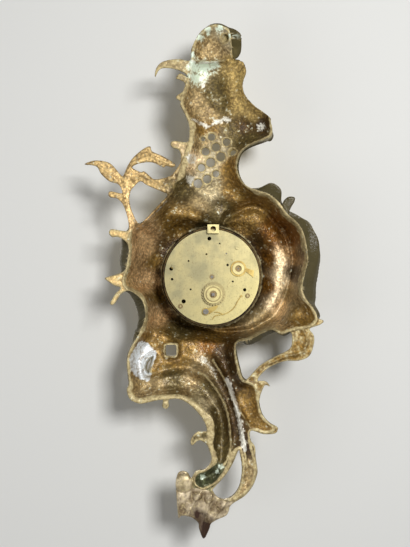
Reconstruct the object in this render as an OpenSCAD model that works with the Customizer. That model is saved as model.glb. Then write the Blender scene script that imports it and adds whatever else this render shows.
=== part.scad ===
// Cartel wall clock: hollow cast-brass case, round movement, dial and hinged bezel.
// Axes: Z is up, the dial faces -Y, the wall plane is y = 0 and the hanging hole is at the origin.
// Outlines are given from the dial centre, x to the front view's right and z up.

/* [Case] */
// Wall thickness of the castings
wall = 2.5; // [2:0.1:3]
// Width of the flat rim that rests on the wall
rim_w = 2; // [1.8:0.1:2.6]
// Depth from the wall plane to the seat of the dial
seat_depth = 40; // [39:0.5:42]
// How far the front moulding stands forward of the dial seat
moulding_h = 5; // [3:0.5:6]
// Depth of the hollow round the movement, below the wall plane
hollow_depth = 33; // [31:0.5:34]
// Rise of the swelling between the deepest line of the hollow and the opening
hollow_lip = 7; // [5:0.5:9]
// Radius of the hanging hole
hang_r = 2.75; // [2:0.25:3.5]
// Thickness of the hanging web
hang_web = 3; // [2:0.5:4]
// Thickness of the leaves and small curls
leaf_t = 5; // [4:0.5:6]
// Side of the square hole in the tail
square_hole = 7.4; // [5:0.2:8]

/* [Dial and bezel] */
// Radius of the enamel dial, which the case outlines follow
dial_r = 40; // [37:0.5:44]
// Width of the bezel ring outside the dial
bezel_w = 6; // [5.5:0.25:6.5]
// Height of the bezel ring
bezel_h = 5; // [4:0.5:6]
// Length of the hour hand
hour_len = 22; // [18:0.5:24]
// Length of the minute hand
minute_len = 32; // [28:0.5:34]
// Hour shown at rest
hour_shown = 10; // [0:1:11]
// Minute shown at rest
minute_shown = 8; // [0:1:59]

/* [Movement] */
// Radius of both movement plates
plate_r = 33.6; // [33:0.1:33.8]
// Thickness of both plates
plate_t = 2.2; // [2:0.1:2.4]
// Distance from the wall plane to the back plate
plate_depth = 7; // [6.5:0.25:8]
// Clear height between the plates
plate_gap = 20; // [20:0.5:22]
// Running clearance on radius for pivots and arbors
run_fit = 0.06; // [0.05:0.01:0.1]

/* [Train] */
// Module of the great wheel mesh
great_m = 0.3; // [0.3:0.01:0.32]
// Teeth on the great wheel
great_n = 72; // [70:2:74]
// Leaves on the centre pinion
centre_leaves = 10; // [10:1:11]
// Teeth on the centre wheel
centre_n = 72; // [70:2:72]
// Module of the centre wheel mesh
centre_m = 0.29; // [0.28:0.01:0.29]
// Teeth on the third wheel
third_n = 64; // [60:2:64]
// Module of the third wheel mesh
third_m = 0.31; // [0.3:0.01:0.31]
// Teeth on the fourth wheel
fourth_n = 60; // [58:2:62]
// Module of the fourth wheel mesh
fourth_m = 0.3; // [0.29:0.01:0.3]
// Leaves on the third, fourth and escape pinions
leaves = 8; // [8:1:8]
// Teeth on the escape wheel
escape_n = 15; // [12:1:18]
// Teeth on the ratchet wheel
ratchet_n = 24; // [20:1:28]

/* [Hidden] */
$fn = 48;

// Dial radius that the case outlines are drawn for, and the scale that follows from it
drawn_dial_r = 40;
case_k = dial_r / drawn_dial_r;
dial_drop = 168 * case_k;
dial_x = 9 * case_k;
bezel_r = dial_r + bezel_w;
drum_r = plate_r + 0.4;
drum_t = 0.9;
opening_r = drum_r + drum_t + 1.6;
flange_t = 1.2;
seat_r = bezel_r + 1;
screw_ring_r = (opening_r + seat_r - 3.7) / 2;
seat_y = -seat_depth;
dial_plate_t = 0.8;
dial_t = 1.6;
dial_front = seat_y - flange_t - dial_plate_t - dial_t;
bezel_y = seat_y - flange_t - 5.2;
hinge_x = -(bezel_r + 2.2);
hinge_r = 1.6;
hinge_pin_r = 0.8;
hinge_y = bezel_y;
knuckle_h = 5;
back_y = -plate_depth;
back_in = back_y - plate_t;
front_in = back_in - plate_gap;
front_y = front_in - plate_t;
wheel_t = 1.2;
barrel_r = 10;
barrel_h0 = 5;
barrel_len = 12;
arbor_r = 1;
// Train arbors stay inside the roots of their pinions
train_r = 0.75;
pivot_r = 0.5;
centre_r = 0.9;
cannon_r = 1.6;
hour_tube_r = 2.5;
winding_r = 1.4;
winding_square = 2.6;
winding_hole_r = 2.6;

// Arbor centres, each found from the mesh before it
centre_at = [0, 0];
barrel_at = polar((great_n + centre_leaves) * great_m / 2, 266);
third_at = polar((centre_n + leaves) * centre_m / 2, 39);
fourth_at = third_at + polar((third_n + leaves) * third_m / 2, 152);
escape_at = fourth_at + polar((fourth_n + leaves) * fourth_m / 2, 157);
balance_at = [-18.7, 5.9];
lever_dir = (balance_at - escape_at) / norm(balance_at - escape_at);
lever_at = escape_at + 6 * lever_dir;
cannon_n = 12;
minute_n = 36;
minute_leaves = 10;
hour_n = 40;
motion_m = 0.35;
motion_room = front_y - seat_y + flange_t;
hour_m = (cannon_n + minute_n) * motion_m / (minute_leaves + hour_n);
minute_at = polar((cannon_n + minute_n) * motion_m / 2, 200);
// Each pillar by its bearing and its distance in from the plate edge
pillar_at = [for (p = [[-43.0, 3.25], [-152.4, 5.06], [130.6, 5.94], [16.5, 5.44]]) polar(plate_r - p[1], p[0])];
ratchet_r = 8.2;
click_at = [4.3, -24.4];

function polar(r, a) = [r * cos(a), r * sin(a)];
function bearing(a, b) = atan2(b[1] - a[1], b[0] - a[0]);

// Point on a smooth curve through p1 and p2
function spline(p0, p1, p2, p3, t) =
  0.5 * (2 * p1 + (p2 - p0) * t + (2 * p0 - 5 * p1 + 4 * p2 - p3) * t * t + (3 * p1 - p0 - 3 * p2 + p3) * t * t * t);
function at(p, i) = p[(i + len(p)) % len(p)];
function held(p, i) = p[max(0, min(i, len(p) - 1))];
function closed_curve(p, n) =
  [for (i = [0:len(p) - 1]) for (k = [0:n - 1]) spline(at(p, i - 1), at(p, i), at(p, i + 1), at(p, i + 2), k / n)];
function open_curve(p, n) = concat(
  [for (i = [0:len(p) - 2]) for (k = [0:n - 1]) spline(held(p, i - 1), p[i], p[i + 1], held(p, i + 2), k / n)],
  [p[len(p) - 1]]);

// Solid through a row of closed sections, either joined end to end or capped
module skin(sections, ring) {
  m = len(sections);
  n = len(sections[0]);
  points = [for (s = sections) for (p = s) p];
  sides = [for (i = [0:(ring ? m - 1 : m - 2)]) for (j = [0:n - 1]) for (f = [0, 1])
    let (a = i * n, b = ((i + 1) % m) * n, k = (j + 1) % n)
    f == 0 ? [a + j, a + k, b + j] : [a + k, b + k, b + j]];
  ends = ring ? [] : [for (e = [0, 1]) for (j = [0:n / 2 - 2]) for (f = [0, 1])
    let (o = e * (m - 1) * n, a = o + j, b = o + j + 1, c = o + n - 2 - j, d = o + n - 1 - j)
    e == 0 ? (f == 0 ? [a, d, b] : [b, d, c]) : (f == 0 ? [a, b, d] : [b, c, d])];
  polyhedron(points = points, faces = concat(sides, ends), convexity = 8);
}

// Flat piece of the given outline with its back at depth y and thickness t toward the front
module flat(y, t) {
  translate([0, y, 0]) rotate([90, 0, 0]) linear_extrude(t) children();
}

module leaf(outline, y, t) {
  flat(y, t) polygon(closed_curve(outline * case_k, 3));
}

// Round rod along Y from depth y toward the front
module rod(c, y, length, r) {
  translate([c[0], y, c[1]]) rotate([90, 0, 0]) cylinder(h = length, r = r);
}

module square_rod(c, y, length, side) {
  translate([c[0] - side / 2, y - length, c[1] - side / 2]) cube([side, length, side]);
}

module at_dial() {
  translate([dial_x, 0, -dial_drop]) children();
}

// How square a channel is outside, and how round it is inside the crest
square_shape = [0.55, 0.65];
round_shape = [1.3, 1];

// Channel section between two rims: flat rims at y = 0, rounded floor at the given depth
function channel(l, r, d, n, inside) =
  let (h = norm(r - l) / 2, c = (l + r) / 2, u = (r - l) / (2 * h))
  let (outer = [for (j = [0:n]) let (a = 180 * j / n) channel_point(c, u, h, d, a, square_shape)])
  let (inner = [for (j = [0:n]) let (a = 180 - 180 * j / n)
    channel_point(c, u, max(h - rim_w, h * 0.3), max(d - wall, d * 0.4), a, inside)])
  concat(outer, inner);
function channel_point(c, u, h, d, a, shape) =
  let (s = -sign(cos(a)) * pow(abs(cos(a)), shape[0]) * h, q = c + u * s)
  [q[0], -d * pow(max(sin(a), 0), shape[1]), q[1]];
// Rows hold left x, z, right x, z and depth
module trough(rows, steps, n, inside = square_shape) {
  fine = open_curve([for (q = rows) [q[0] * case_k, q[1] * case_k, q[2] * case_k, q[3] * case_k, q[4]]], steps);
  last = len(fine) - 1;
  skin([for (i = [last:-1:0]) let (q = fine[i]) channel([q[0], q[1]], [q[2], q[3]], q[4], n, inside)], false);
}

// Sharp rib along a line: x, z, depth of its crest and of its foot
module rib(rows, half) {
  fine = open_curve([for (q = rows) [q[0] * case_k, q[1] * case_k, q[2], q[3]]], 2);
  last = len(fine) - 1;
  skin([for (i = [last:-1:0])
    let (q = fine[i], n = polar(1, bearing(held(fine, i - 1), held(fine, i + 1)) + 90))
    [for (p = [[-half, q[3]], [-half / 6, q[2]], [half / 6, q[2]], [half, q[3]]])
      [q[0] + n[0] * p[0], -p[1], q[1] + n[1] * p[0]]]], false);
}

// Rim of the main casting: x, z, swell of the flank, depth of the rim below the wall plane
body_rim = [[61, 0.5, 7, 0], [59, 8, 8, 0], [59, 19, 8, 0], [57, 28, 6, 0], [54, 34, 3, 0], [48, 36, 2, 0],
  [40, 45, 2, 0], [29.5, 56, 0, 0], [16, 58, 0, 15], [0, 59, 0, 17], [-16, 60, 0, 15], [-31.5, 61, 3, 0],
  [-41, 59, 11, 0], [-46, 54, 5, 0], [-55, 43.5, 6, 0], [-61, 38, 10, 0], [-65, 29.5, 11, 0], [-68, 17, 11, 0],
  [-66.5, 5, 11, 0], [-64, -5, 10, 0], [-65, -13, 8, 0], [-71, -22, 4, 0], [-74, -29, 2, 0], [-69, -35, 0, 0],
  [-60, -39, 0, 0], [-50, -37.5, 0, 0], [-40.5, -37.5, 0, 0], [-30, -42, 0, 0], [-20, -45, 0, 0],
  [-17, -47, 0, 3], [2, -48, 0, 12], [19, -47, 0, 14], [36, -44, 0, 12], [52, -41, 2, 0], [48, -32, 6, 0],
  [48, -24.5, 7, 0], [50, -17.5, 7, 0], [54, -12.5, 6, 0], [59.5, -10, 5, 0], [62, -4.5, 5, 0]];

// Depth inside the main casting at a share of the way from its rim, at depth y0, to the opening. Toward -x the
// hollow is deepest near the rim and swells between there and the opening, elsewhere it falls all the way.
function hollow_y(share, y0, toward_x) =
  let (joined = min(1, -y0 / 10), turned = (1 - joined) * max(0, min(1, (0.2 - toward_x) / 0.8)))
  let (low = hollow_lip * joined - hollow_depth, turn = 1 - 0.8 * turned)
  share <= turn ? y0 + (low - y0) * sin(90 * pow(share / turn, 0.8))
    : low + hollow_lip * turned * sin(180 * (share - turn) / (1 - turn));

function body_section(q) =
  let (r = norm([q[0], q[1]]) * case_k, u = [q[0], q[1]] / norm([q[0], q[1]]), b = max(q[2], 0), y0 = -max(q[3], 0))
  let (g = r - seat_r, yf = seat_y - min(moulding_h, 0.4 * g), y = yf - y0)
  let (outer = [[r, y0], [r + 0.75 * b, y0 + 0.14 * y], [r + b, y0 + 0.36 * y], [r + 0.85 * b, y0 + 0.6 * y],
    [r + 0.2 * b - 0.1 * g, y0 + 0.86 * y], [seat_r + 0.55 * g, yf], [seat_r + 0.18 * g, (yf + seat_y) / 2],
    [seat_r, seat_y], [opening_r, seat_y]])
  let (inner = [for (s = [1, 0.85, 0.65, 0.45, 0.3, 0.2, 0.1, 0.04, 0])
    [r - rim_w + (opening_r - r + rim_w) * s, hollow_y(s, y0, u[0])]])
  [for (p = concat(outer, inner)) [u[0] * p[0], p[1], u[1] * p[0]]];

body_spurs = [
  [[59.5, 32], [66, 33], [71.5, 33], [71.5, 29.5], [66, 28], [61.5, 26], [58, 22]],
  [[61, 3.5], [69, 1], [75, -1.5], [69, -5.5], [64.5, -9], [60, -6]],
  [[62, -9], [68.5, -12.5], [71.5, -18], [68, -18], [61, -13]],
  [[-72, -26], [-78.5, -31], [-71, -34]]];
flank_tip = [[-47, 50], [-54.5, 56.5], [-59.5, 56], [-57, 50.5], [-51, 45]];

module case_body() {
  color("#B8935A") at_dial() difference() {
    union() {
      skin([for (q = closed_curve(body_rim, 2)) body_section(q)], true);
      for (s = body_spurs) leaf(s, -1, leaf_t);
      leaf(flank_tip, -8, leaf_t);
    }
    for (a = [30, 150, 270]) rod(polar(screw_ring_r, a), seat_y + wall + 1, wall + 2, 0.8);
  }
}

// Crest rims from the top down to the soldered line
crest_rows = [[0, 176.5, -7, 176, 5], [6.5, 172, -12.5, 171, 8], [11, 166, -14, 164.5, 11], [14, 159, -14, 157.5, 12],
  [14.5, 152, -15.5, 151, 12], [15.5, 145, -24, 145, 14], [17.5, 138.5, -22.5, 138.5, 15.5],
  [19.5, 131.5, -21.5, 132, 16], [22, 123, -24.5, 126, 16], [21, 117.5, -32, 118, 15], [18, 112, -41, 112, 14]];
crest_ledge = [[14, 152, 2, 11], [5, 150.5, 2, 11], [-3, 151, 2, 11], [-13, 154, 2, 11]];
crest_curl = [[-12, 173], [-17.5, 171], [-21, 164], [-19.5, 160], [-12.5, 161.5]];
crest_spurs = [
  [[13, 150.5], [24, 153], [31, 152.5], [36.5, 150], [39.5, 143], [40, 140], [37, 145], [32, 146.5], [24, 145.5],
    [14, 140]],
  [[15, 142], [22.5, 143], [25, 140], [20.5, 138], [16, 135.5]],
  [[19, 130], [24.5, 127.5], [25, 125], [20, 123]]];

module crest() {
  hang_at = [-dial_x, dial_drop];
  color("#6B5A34") at_dial() difference() {
    union() {
      trough(crest_rows, 2, 12, round_shape);
      for (s = crest_spurs) leaf(s, -1, leaf_t);
      rib(crest_ledge, 2);
      leaf(crest_curl, -4, leaf_t);
      rod(hang_at, 0, hang_web, hang_r + 3);
    }
    rod(hang_at, 1, hang_web + 2, hang_r);
  }
}

// Pierced neck between the soldered line and the main casting
neck_rows = [[18, 112, -41, 112, 14], [16, 104.5, -43.5, 101.5, 14], [16, 96, -35, 95, 13.5],
  [16, 89, -22.5, 89, 14], [19, 81, -18, 80.5, 14.5], [23, 73, -19.5, 72, 14.5], [27, 64, -25, 64.5, 16.5],
  [29.5, 56, -31.5, 61, 18.5]];
neck_holes = [[6, 98, 1.4], [0, 99.5, 2.6], [-10.5, 96, 2.6], [-3, 92.5, 2.9], [4.5, 89.5, 2.7], [-14.5, 89, 2.6],
  [-6.5, 86, 3.1], [1, 81.5, 3.2], [7.5, 78, 2.6], [-3, 73.5, 2.3], [3.5, 70, 2.9], [10, 66.5, 3]];

module neck_panel() {
  color("#B5A583") at_dial() difference() {
    union() {
      trough(neck_rows, 2, 12);
      leaf([[15, 95], [22.5, 95], [28.5, 94.5], [28, 91], [21.5, 88], [15.5, 87]], -1, leaf_t);
    }
    for (h = neck_holes) rod([h[0], h[1]] * case_k, -8, 20, h[2]);
  }
}

// Left scroll of the tail, from the main casting round to the volute
scroll_rows = [[53, -42.5, 33, -42.5, 15], [58, -52.5, 22.5, -47.5, 14.5], [60, -62.5, 15.5, -53, 14],
  [59.5, -72, 10.5, -59, 14], [58, -81, 6.5, -64.5, 14.5], [49.5, -87.5, 3, -70, 15], [38, -85.5, -0.5, -76.5, 15.5],
  [26, -84, -4, -83.5, 15.5], [17, -87.5, -7.5, -90.5, 14.5], [9, -95, -10, -97.5, 13.5],
  [3.5, -105, -12, -105.5, 12.5], [0.5, -115, -12.5, -116, 11.5], [0, -124.5, -11, -126.5, 10.5],
  [2, -132, -7, -135, 10], [6, -135.5, -1.5, -143.5, 9]];
scroll_spurs = [
  [[36, -83], [35, -91], [33, -93], [30, -91], [30, -82]],
  [[2, -106], [10, -108.5], [14.5, -114], [14, -118], [10, -115], [4, -116], [-1, -120]]];
scroll_fold = [[38, -67, 8, 12.8], [26, -65, 5.5, 12.8], [17, -65, 5, 12.5], [9, -68.5, 3, 9.6]];
volute_at = [6.5, -142] * case_k;
volute_r = 7;

module tail_scroll() {
  color("#A07A3C") at_dial() difference() {
    union() {
      trough(scroll_rows, 2, 12);
      rib(scroll_fold, 2.5);
      for (s = scroll_spurs) leaf(s, -1, leaf_t);
      rod(volute_at, 0, 8, volute_r);
    }
    rod(volute_at, 1, 7.5, volute_r - 1.6);
    square_rod([29, -52] * case_k, 1, seat_depth, square_hole);
  }
}

// Right stem of the tail, from the main casting down to the foot leaf
stem_rows = [[33, -42.5, -17, -47.5, 19], [22.5, -47.5, -17, -52.5, 19], [15.5, -53, -17.5, -58, 18],
  [10.5, -59, -19, -63.5, 16.5], [6.5, -64.5, -21, -70, 15.5], [3, -70, -26.5, -75, 14.5],
  [-0.5, -76.5, -32, -80.5, 13.5], [-4, -83.5, -33, -87.5, 12], [-7.5, -90.5, -35, -95, 11],
  [-10, -97.5, -40.5, -101.5, 10], [-12, -105.5, -45.5, -107, 9], [-14.5, -114, -31, -110, 8],
  [-18, -120.5, -28, -118.5, 7.5], [-20.5, -128, -31, -126.5, 7], [-21, -136.5, -32, -136, 7],
  [-19.5, -145, -30, -145.5, 6.5], [-15.5, -152.5, -23, -154, 6], [-10, -156, -15.5, -159.5, 5]];
stem_ridge = [[-3.5, -62.5, 6, 15], [-7, -68, 4, 14.5], [-10.5, -75.5, 3, 13], [-16, -89.5, 2, 10.5],
  [-18.5, -96, 1.5, 9.5], [-21, -111, 1.5, 7.5]];

module tail_stem() {
  color("#B8935A") at_dial() union() {
    trough(stem_rows, 2, 10);
    rib(stem_ridge, 2.4);
    leaf([[-31, -73], [-38, -73.5], [-40.5, -77], [-36.5, -77], [-31, -82]], -1, leaf_t);
  }
}

foot_outline = [[-14, -156], [-12, -164], [-6.5, -168.5], [0.5, -173.5], [3.5, -180.5], [6, -184], [8.5, -179],
  [10.5, -173], [15.5, -168.5], [21.5, -168.5], [24, -170], [24.5, -161.5], [25, -151], [20.5, -149], [15.5, -149.5],
  [12.5, -147], [9, -150], [3.5, -149.5], [-0.5, -150.5], [-5, -155]];

module tail_leaf() {
  color("#8A7255") at_dial() union() {
    leaf(foot_outline, -3, leaf_t);
    rod([20.5, -145] * case_k, -1, leaf_t + 1, volute_r);
  }
}

spray_arm = [[25, 75], [31, 70.5], [38, 68.5], [42.5, 70], [46, 73.5], [52, 75.5], [57.5, 75.5], [61.5, 70.5],
  [63, 64], [63, 57], [61.5, 50], [59.5, 42.5], [58, 36], [53, 36], [50, 38], [54, 42], [56.5, 47.5], [58, 54],
  [57.5, 59.5], [54.5, 64], [50.5, 67], [43.5, 63.5], [36.5, 60], [31.5, 56.5], [28, 61]];
spray_leaves = [
  [[61, 70], [68, 76.5], [73, 80.5], [80, 82], [85.5, 81], [89.5, 79], [84, 78], [80, 75], [76.5, 69.5],
    [71.5, 67], [66, 65], [61.5, 61]],
  [[60, 70], [59.5, 77.5], [55.5, 84], [48.5, 90], [43.5, 92], [41.5, 88], [34.5, 84.5], [26, 79], [32, 77.5],
    [38, 78], [46, 80.5], [51, 80], [56, 74]],
  [[62, 59], [68, 60], [72, 59.5], [72, 56.5], [68, 55.5], [62, 54]]];

module leaf_spray() {
  color("#C79A4B") at_dial() union() {
    leaf(spray_arm, -2, leaf_t);
    for (s = spray_leaves) leaf(s, -2.5, leaf_t);
  }
}

module side_branch() {
  color("#C9A96E") at_dial() leaf([[-67, -35], [-71.5, -41.5], [-71.5, -49.5], [-68, -56], [-61.5, -59],
    [-53, -59.5], [-44, -61.5], [-35.5, -66.5], [-30, -73], [-24.5, -72], [-30, -66], [-37, -59.5], [-46, -55],
    [-53, -51], [-56, -46], [-55.5, -40], [-61.5, -37]], -2, leaf_t + 1);
}

// Sleeve round the movement with the flange that sits on the case
module movement_drum() {
  color("#C9A96E") at_dial() difference() {
    union() {
      rod(centre_at, back_y - 0.6, seat_depth - plate_depth + 0.6, drum_r + drum_t);
      rod(centre_at, seat_y, flange_t, seat_r - 2);
    }
    rod(centre_at, 0, seat_depth + 10, drum_r);
    for (a = [30, 150, 270]) rod(polar(screw_ring_r, a), seat_y + 1, 4, 0.9);
  }
}

module seat_screws() {
  color("#8C8C86") at_dial() for (a = [30, 150, 270]) {
    c = polar(screw_ring_r, a);
    rod(c, seat_y + wall, wall + flange_t, 0.8);
  }
}

// Fixed ring in front of the flange, with two hinge knuckles
module bezel_seat() {
  h = seat_y - flange_t - bezel_y - 0.2;
  color("#C9A15A") at_dial() difference() {
    union() {
      rod(centre_at, seat_y - flange_t, h, bezel_r - 0.5);
      for (s = [-1, 1]) knuckle(s * knuckle_h, true);
    }
    rod(centre_at, 0, seat_depth + 10, dial_r + 0.4);
    for (s = [-1, 1]) hinge_bore(hinge_pin_r);
    translate([hinge_x - 3, bezel_y - 4, -knuckle_h / 2 - 0.2]) cube([4.6, 8, knuckle_h + 0.4]);
  }
}

module hinge_bore(r) {
  translate([hinge_x, hinge_y, -knuckle_h * 2]) cylinder(h = knuckle_h * 4, r = r);
}

module knuckle(z, seat) {
  translate([hinge_x, hinge_y, z - knuckle_h / 2]) {
    cylinder(h = knuckle_h - 0.2, r = hinge_r);
    translate([0, seat ? 0.2 : -1.6, 0]) cube([4.4, 1.4, knuckle_h - 0.2]);
  }
}

module hinge_pin() {
  color("#8C8C86") at_dial() translate([hinge_x, hinge_y, -knuckle_h * 1.5])
    cylinder(h = knuckle_h * 3, r = hinge_pin_r);
}

// Hinged ring that holds the glass
module bezel() {
  color("#D0A860") at_dial() difference() {
    union() {
      translate([0, bezel_y, 0]) rotate([90, 0, 0]) rotate_extrude()
        polygon([[dial_r - 1, 0.2], [bezel_r - 0.4, 0.2], [bezel_r, 1], [bezel_r - 0.6, 2.4], [bezel_r - 2, bezel_h - 0.8],
          [bezel_r - 3.6, bezel_h], [bezel_r - 4.6, bezel_h - 0.4], [dial_r - 1, bezel_h - 1]]);
      knuckle(0, false);
      translate([bezel_r - 1.4, bezel_y - 2.4, -1.6]) cube([3, 1.6, 3.2]);
    }
    hinge_bore(hinge_pin_r + run_fit);
    rod(centre_at, bezel_y + 1, 4.1, dial_r + 1.2);
  }
}

// Domed glass held behind the bezel's lip
module glass() {
  dome_r = 160;
  edge = dial_r + 1;
  drop = dome_r - sqrt(dome_r * dome_r - edge * edge);
  color([0.85, 0.9, 0.92, 0.4]) at_dial() translate([0, bezel_y - 0.6, 0]) rotate([90, 0, 0]) intersection() {
    cylinder(h = 20, r = edge);
    translate([0, 0, drop - dome_r]) difference() {
      sphere(r = dome_r + 1.6, $fn = 160);
      sphere(r = dome_r, $fn = 160);
    }
  }
}

module dial_holes(extra) {
  rod(centre_at, 0, 80, hour_tube_r + 0.5);
  rod(barrel_at, 0, 80, winding_hole_r + extra);
}

module dial_plate() {
  color("#B9965A") at_dial() difference() {
    rod(centre_at, seat_y - flange_t, dial_plate_t, dial_r - 0.4);
    dial_holes(0.6);
  }
}

module dial() {
  color("#F1EDE2") at_dial() difference() {
    rod(centre_at, seat_y - flange_t - dial_plate_t, dial_t, dial_r);
    dial_holes(0.6);
  }
}

module winding_ferrule() {
  color("#C9A15A") at_dial() difference() {
    union() {
      rod(barrel_at, seat_y - flange_t, dial_plate_t + dial_t, winding_hole_r + 0.6);
      rod(barrel_at, dial_front, 0.5, winding_hole_r + 1.1);
    }
    rod(barrel_at, 0, 80, winding_hole_r);
  }
}

// Clock hand pointing up, with a pierced disc two thirds of the way along
module hand(length, eye, bore, hub, y, t, angle) {
  rotate([0, angle, 0]) flat(y, t) difference() {
    union() {
      circle(r = hub);
      polygon([[-0.9, 0], [0.9, 0], [0.6, length * 0.62], [-0.6, length * 0.62]]);
      translate([0, length * 0.68]) circle(r = eye);
      polygon([[-0.8, length * 0.74], [0.8, length * 0.74], [0, length]]);
    }
    circle(r = bore);
    translate([eye * 0.12, length * 0.68]) circle(r = eye * 0.6);
  }
}

minute_angle = minute_shown * 6;
hour_angle = hour_shown * 30 + minute_shown / 2;

module hour_hand() {
  color("#23262B") at_dial() hand(hour_len, 2.6, hour_tube_r, 3.6, dial_front - 0.8, 0.7, hour_angle);
}

module minute_hand() {
  color("#23262B") at_dial() hand(minute_len, 2.2, cannon_r, 2.8, dial_front - 2.4, 0.7, minute_angle);
}

module hand_nut() {
  color("#C9A15A") at_dial() difference() {
    rod(centre_at, dial_front - 3.1, 1.4, 2.2);
    rod(centre_at, 0, 80, centre_r);
  }
}

back_holes = [[1.8, 27.2, 1.4], [-5.5, 23.7, 0.6], [3.9, 16.1, 0.7], [16.5, 11.3, 0.7], [-11.1, 8.5, 0.9],
  [28.8, 5.8, 1.3], [28.2, -1.6, 0.9], [15.1, -8.8, 0.7], [-14.8, -3.2, 0.7], [-23.2, -9.1, 1.2], [20, -17.3, 1.5]];

module back_plate() {
  color("#CFC084") at_dial() difference() {
    rod(centre_at, back_y, plate_t, plate_r);
    for (h = back_holes) rod([h[0], h[1]], 0, 20, h[2]);
    rod(centre_at, 0, 20, arbor_r + run_fit);
    rod(barrel_at, 0, 20, winding_r + run_fit);
    rod(escape_at, 0, 20, pivot_r + run_fit);
    rod(lever_at, 0, 20, pivot_r + run_fit);
    rod(balance_at, 0, 20, pivot_r + run_fit);
    for (c = [third_at, fourth_at]) rod(c, back_in + 1.6, 10, pivot_r + run_fit);
    for (c = pillar_at) rod(c, 0, 20, 1);
    rod(click_at, 0, 20, 0.9);
  }
}

module front_plate() {
  color("#C4B47A") at_dial() difference() {
    rod(centre_at, front_in, plate_t, plate_r);
    rod(centre_at, 0, 60, centre_r + 0.1);
    rod(barrel_at, 0, 60, winding_r + run_fit);
    for (c = [third_at, fourth_at, escape_at, lever_at, balance_at]) rod(c, front_in + 1, 2.6, pivot_r + run_fit);
    for (c = pillar_at) rod(c, 0, 60, 1);
    rod(minute_at, 0, 60, 0.8);
  }
}

module pillars() {
  color("#C9A96E") at_dial() for (c = pillar_at) difference() {
    union() {
      rod(c, back_in, plate_gap, 2.4);
      rod(c, front_in, plate_t, 1);
    }
    rod(c, back_in + 1, 7, 0.7);
  }
}

// One screw per pillar, through the back plate
module pillar_screws() {
  color("#8F969A") at_dial() for (c = pillar_at) difference() {
    union() {
      rod(c, back_y + 0.9, 0.9, 1.6);
      rod(c, back_y, plate_t, 1);
      rod(c, back_in, 5, 0.7);
    }
    translate([c[0] - 2, back_y + 0.45, c[1] - 0.2]) cube([4, 1, 0.4]);
  }
}

module fixing_block() {
  color("#C2B072") at_dial() difference() {
    translate([-0.9 - 4.05, back_y, 33.9 - 3.1]) cube([8.1, 3, 6.2]);
    rod([-0.9, 33.9], 0, 20, 2);
  }
}

module balance_boss() {
  color("#D3C48A") at_dial() difference() {
    union() {
      rod(balance_at, back_y + 1.5, 1.5, 4.4);
    }
    rod(balance_at, 0, 20, 2.3);
  }
}

module regulator_index() {
  c = balance_at;
  color("#9AA0A4") at_dial() difference() {
    union() {
      rod(c, back_y + 0.9, 0.7, 5.6);
      translate([c[0], 0, c[1]]) flat(back_y + 0.9, 0.7)
        polygon([[0, 1.2], [-5, 0.6], [-11, -1.4], [-10.6, -6.2], [-5.5, -2.2], [0, -1.2]]);
    }
    rod(c, 0, 20, 4.4 + run_fit);
  }
}

// Gear outline: teeth taper from root to tip; turn puts a tooth on that bearing
function gear_outline(n, m, add, ded, root, tip, turn) =
  [for (i = [0:n - 1]) for (k = [0:3])
    let (r = n * m / 2 + (k == 0 || k == 3 ? -ded : add) * m, w = [-root, -tip, tip, root][k])
    polar(r, turn + (i + w) * 360 / n)];
module wheel_2d(n, m, turn) {
  polygon(gear_outline(n, m, 0.9, 1.25, 0.29, 0.1, turn));
}
module pinion_2d(n, m, turn) {
  polygon(gear_outline(n, m, 0.6, 1.4, 0.26, 0.09, turn));
}

// Wheel with round windows, its front face at height h over the front plate
module train_wheel(c, n, m, turn, h, bore) {
  translate([c[0], 0, c[1]]) flat(front_in + h + wheel_t, wheel_t) difference() {
    wheel_2d(n, m, turn);
    circle(r = bore);
    for (a = [0:72:288]) rotate(a) translate([n * m * 0.28, 0]) circle(r = n * m * 0.11);
  }
}

// Arbor with pivots in both plates and one pinion
module train_arbor(c, n, m, turn, h, length) {
  translate([c[0], 0, c[1]]) {
    rod([0, 0], back_in - 0.3, plate_gap - 0.6, train_r);
    rod([0, 0], back_in + 1.3, plate_gap + 2.6, pivot_r);
    flat(front_in + h + length, length) pinion_2d(n, m, turn);
  }
}

module barrel() {
  t = 1.6;
  c = barrel_at;
  color("#C9A96E") at_dial() difference() {
    union() {
      translate([c[0], 0, c[1]]) flat(front_in + barrel_h0 + t, t)
        wheel_2d(great_n, great_m, bearing(barrel_at, centre_at));
      rod(c, front_in + barrel_h0 + barrel_len, barrel_len - t, barrel_r);
    }
    rod(c, front_in + barrel_h0 + barrel_len + 1, barrel_len + 1 - t, barrel_r - 0.9);
    rod(c, 0, 80, winding_r + run_fit);
  }
}

module barrel_cap() {
  color("#C4B47A") at_dial() difference() {
    rod(barrel_at, front_in + barrel_h0 + barrel_len, 1, barrel_r - 0.9);
    rod(barrel_at, 0, 80, winding_r + run_fit);
  }
}

// Spiral ribbon from radius r0 to r1
function ribbon(r0, r1, turns, w, n) = concat(
  [for (i = [0:n]) polar(r0 + (r1 - r0) * i / n + w / 2, 360 * turns * i / n)],
  [for (i = [n:-1:0]) polar(r0 + (r1 - r0) * i / n - w / 2, 360 * turns * i / n)]);

module mainspring() {
  c = barrel_at;
  color("#5C6670") at_dial() translate([c[0], 0, c[1]])
    flat(front_in + barrel_h0 + 10.6, 8.6) polygon(ribbon(4, barrel_r - 1.2, 5, 0.5, 90));
}

module barrel_arbor() {
  color("#7A8488") at_dial() {
    rod(barrel_at, back_y + 0.2, back_y + 0.2 - front_y + 0.4, winding_r);
    square_rod(barrel_at, -2.2, plate_depth - 2, winding_square * 0.8);
    square_rod(barrel_at, front_y - 0.2, front_y - dial_front - 1.2, winding_square * 0.8);
  }
}

ratchet_y = back_y + 1.6;

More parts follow.
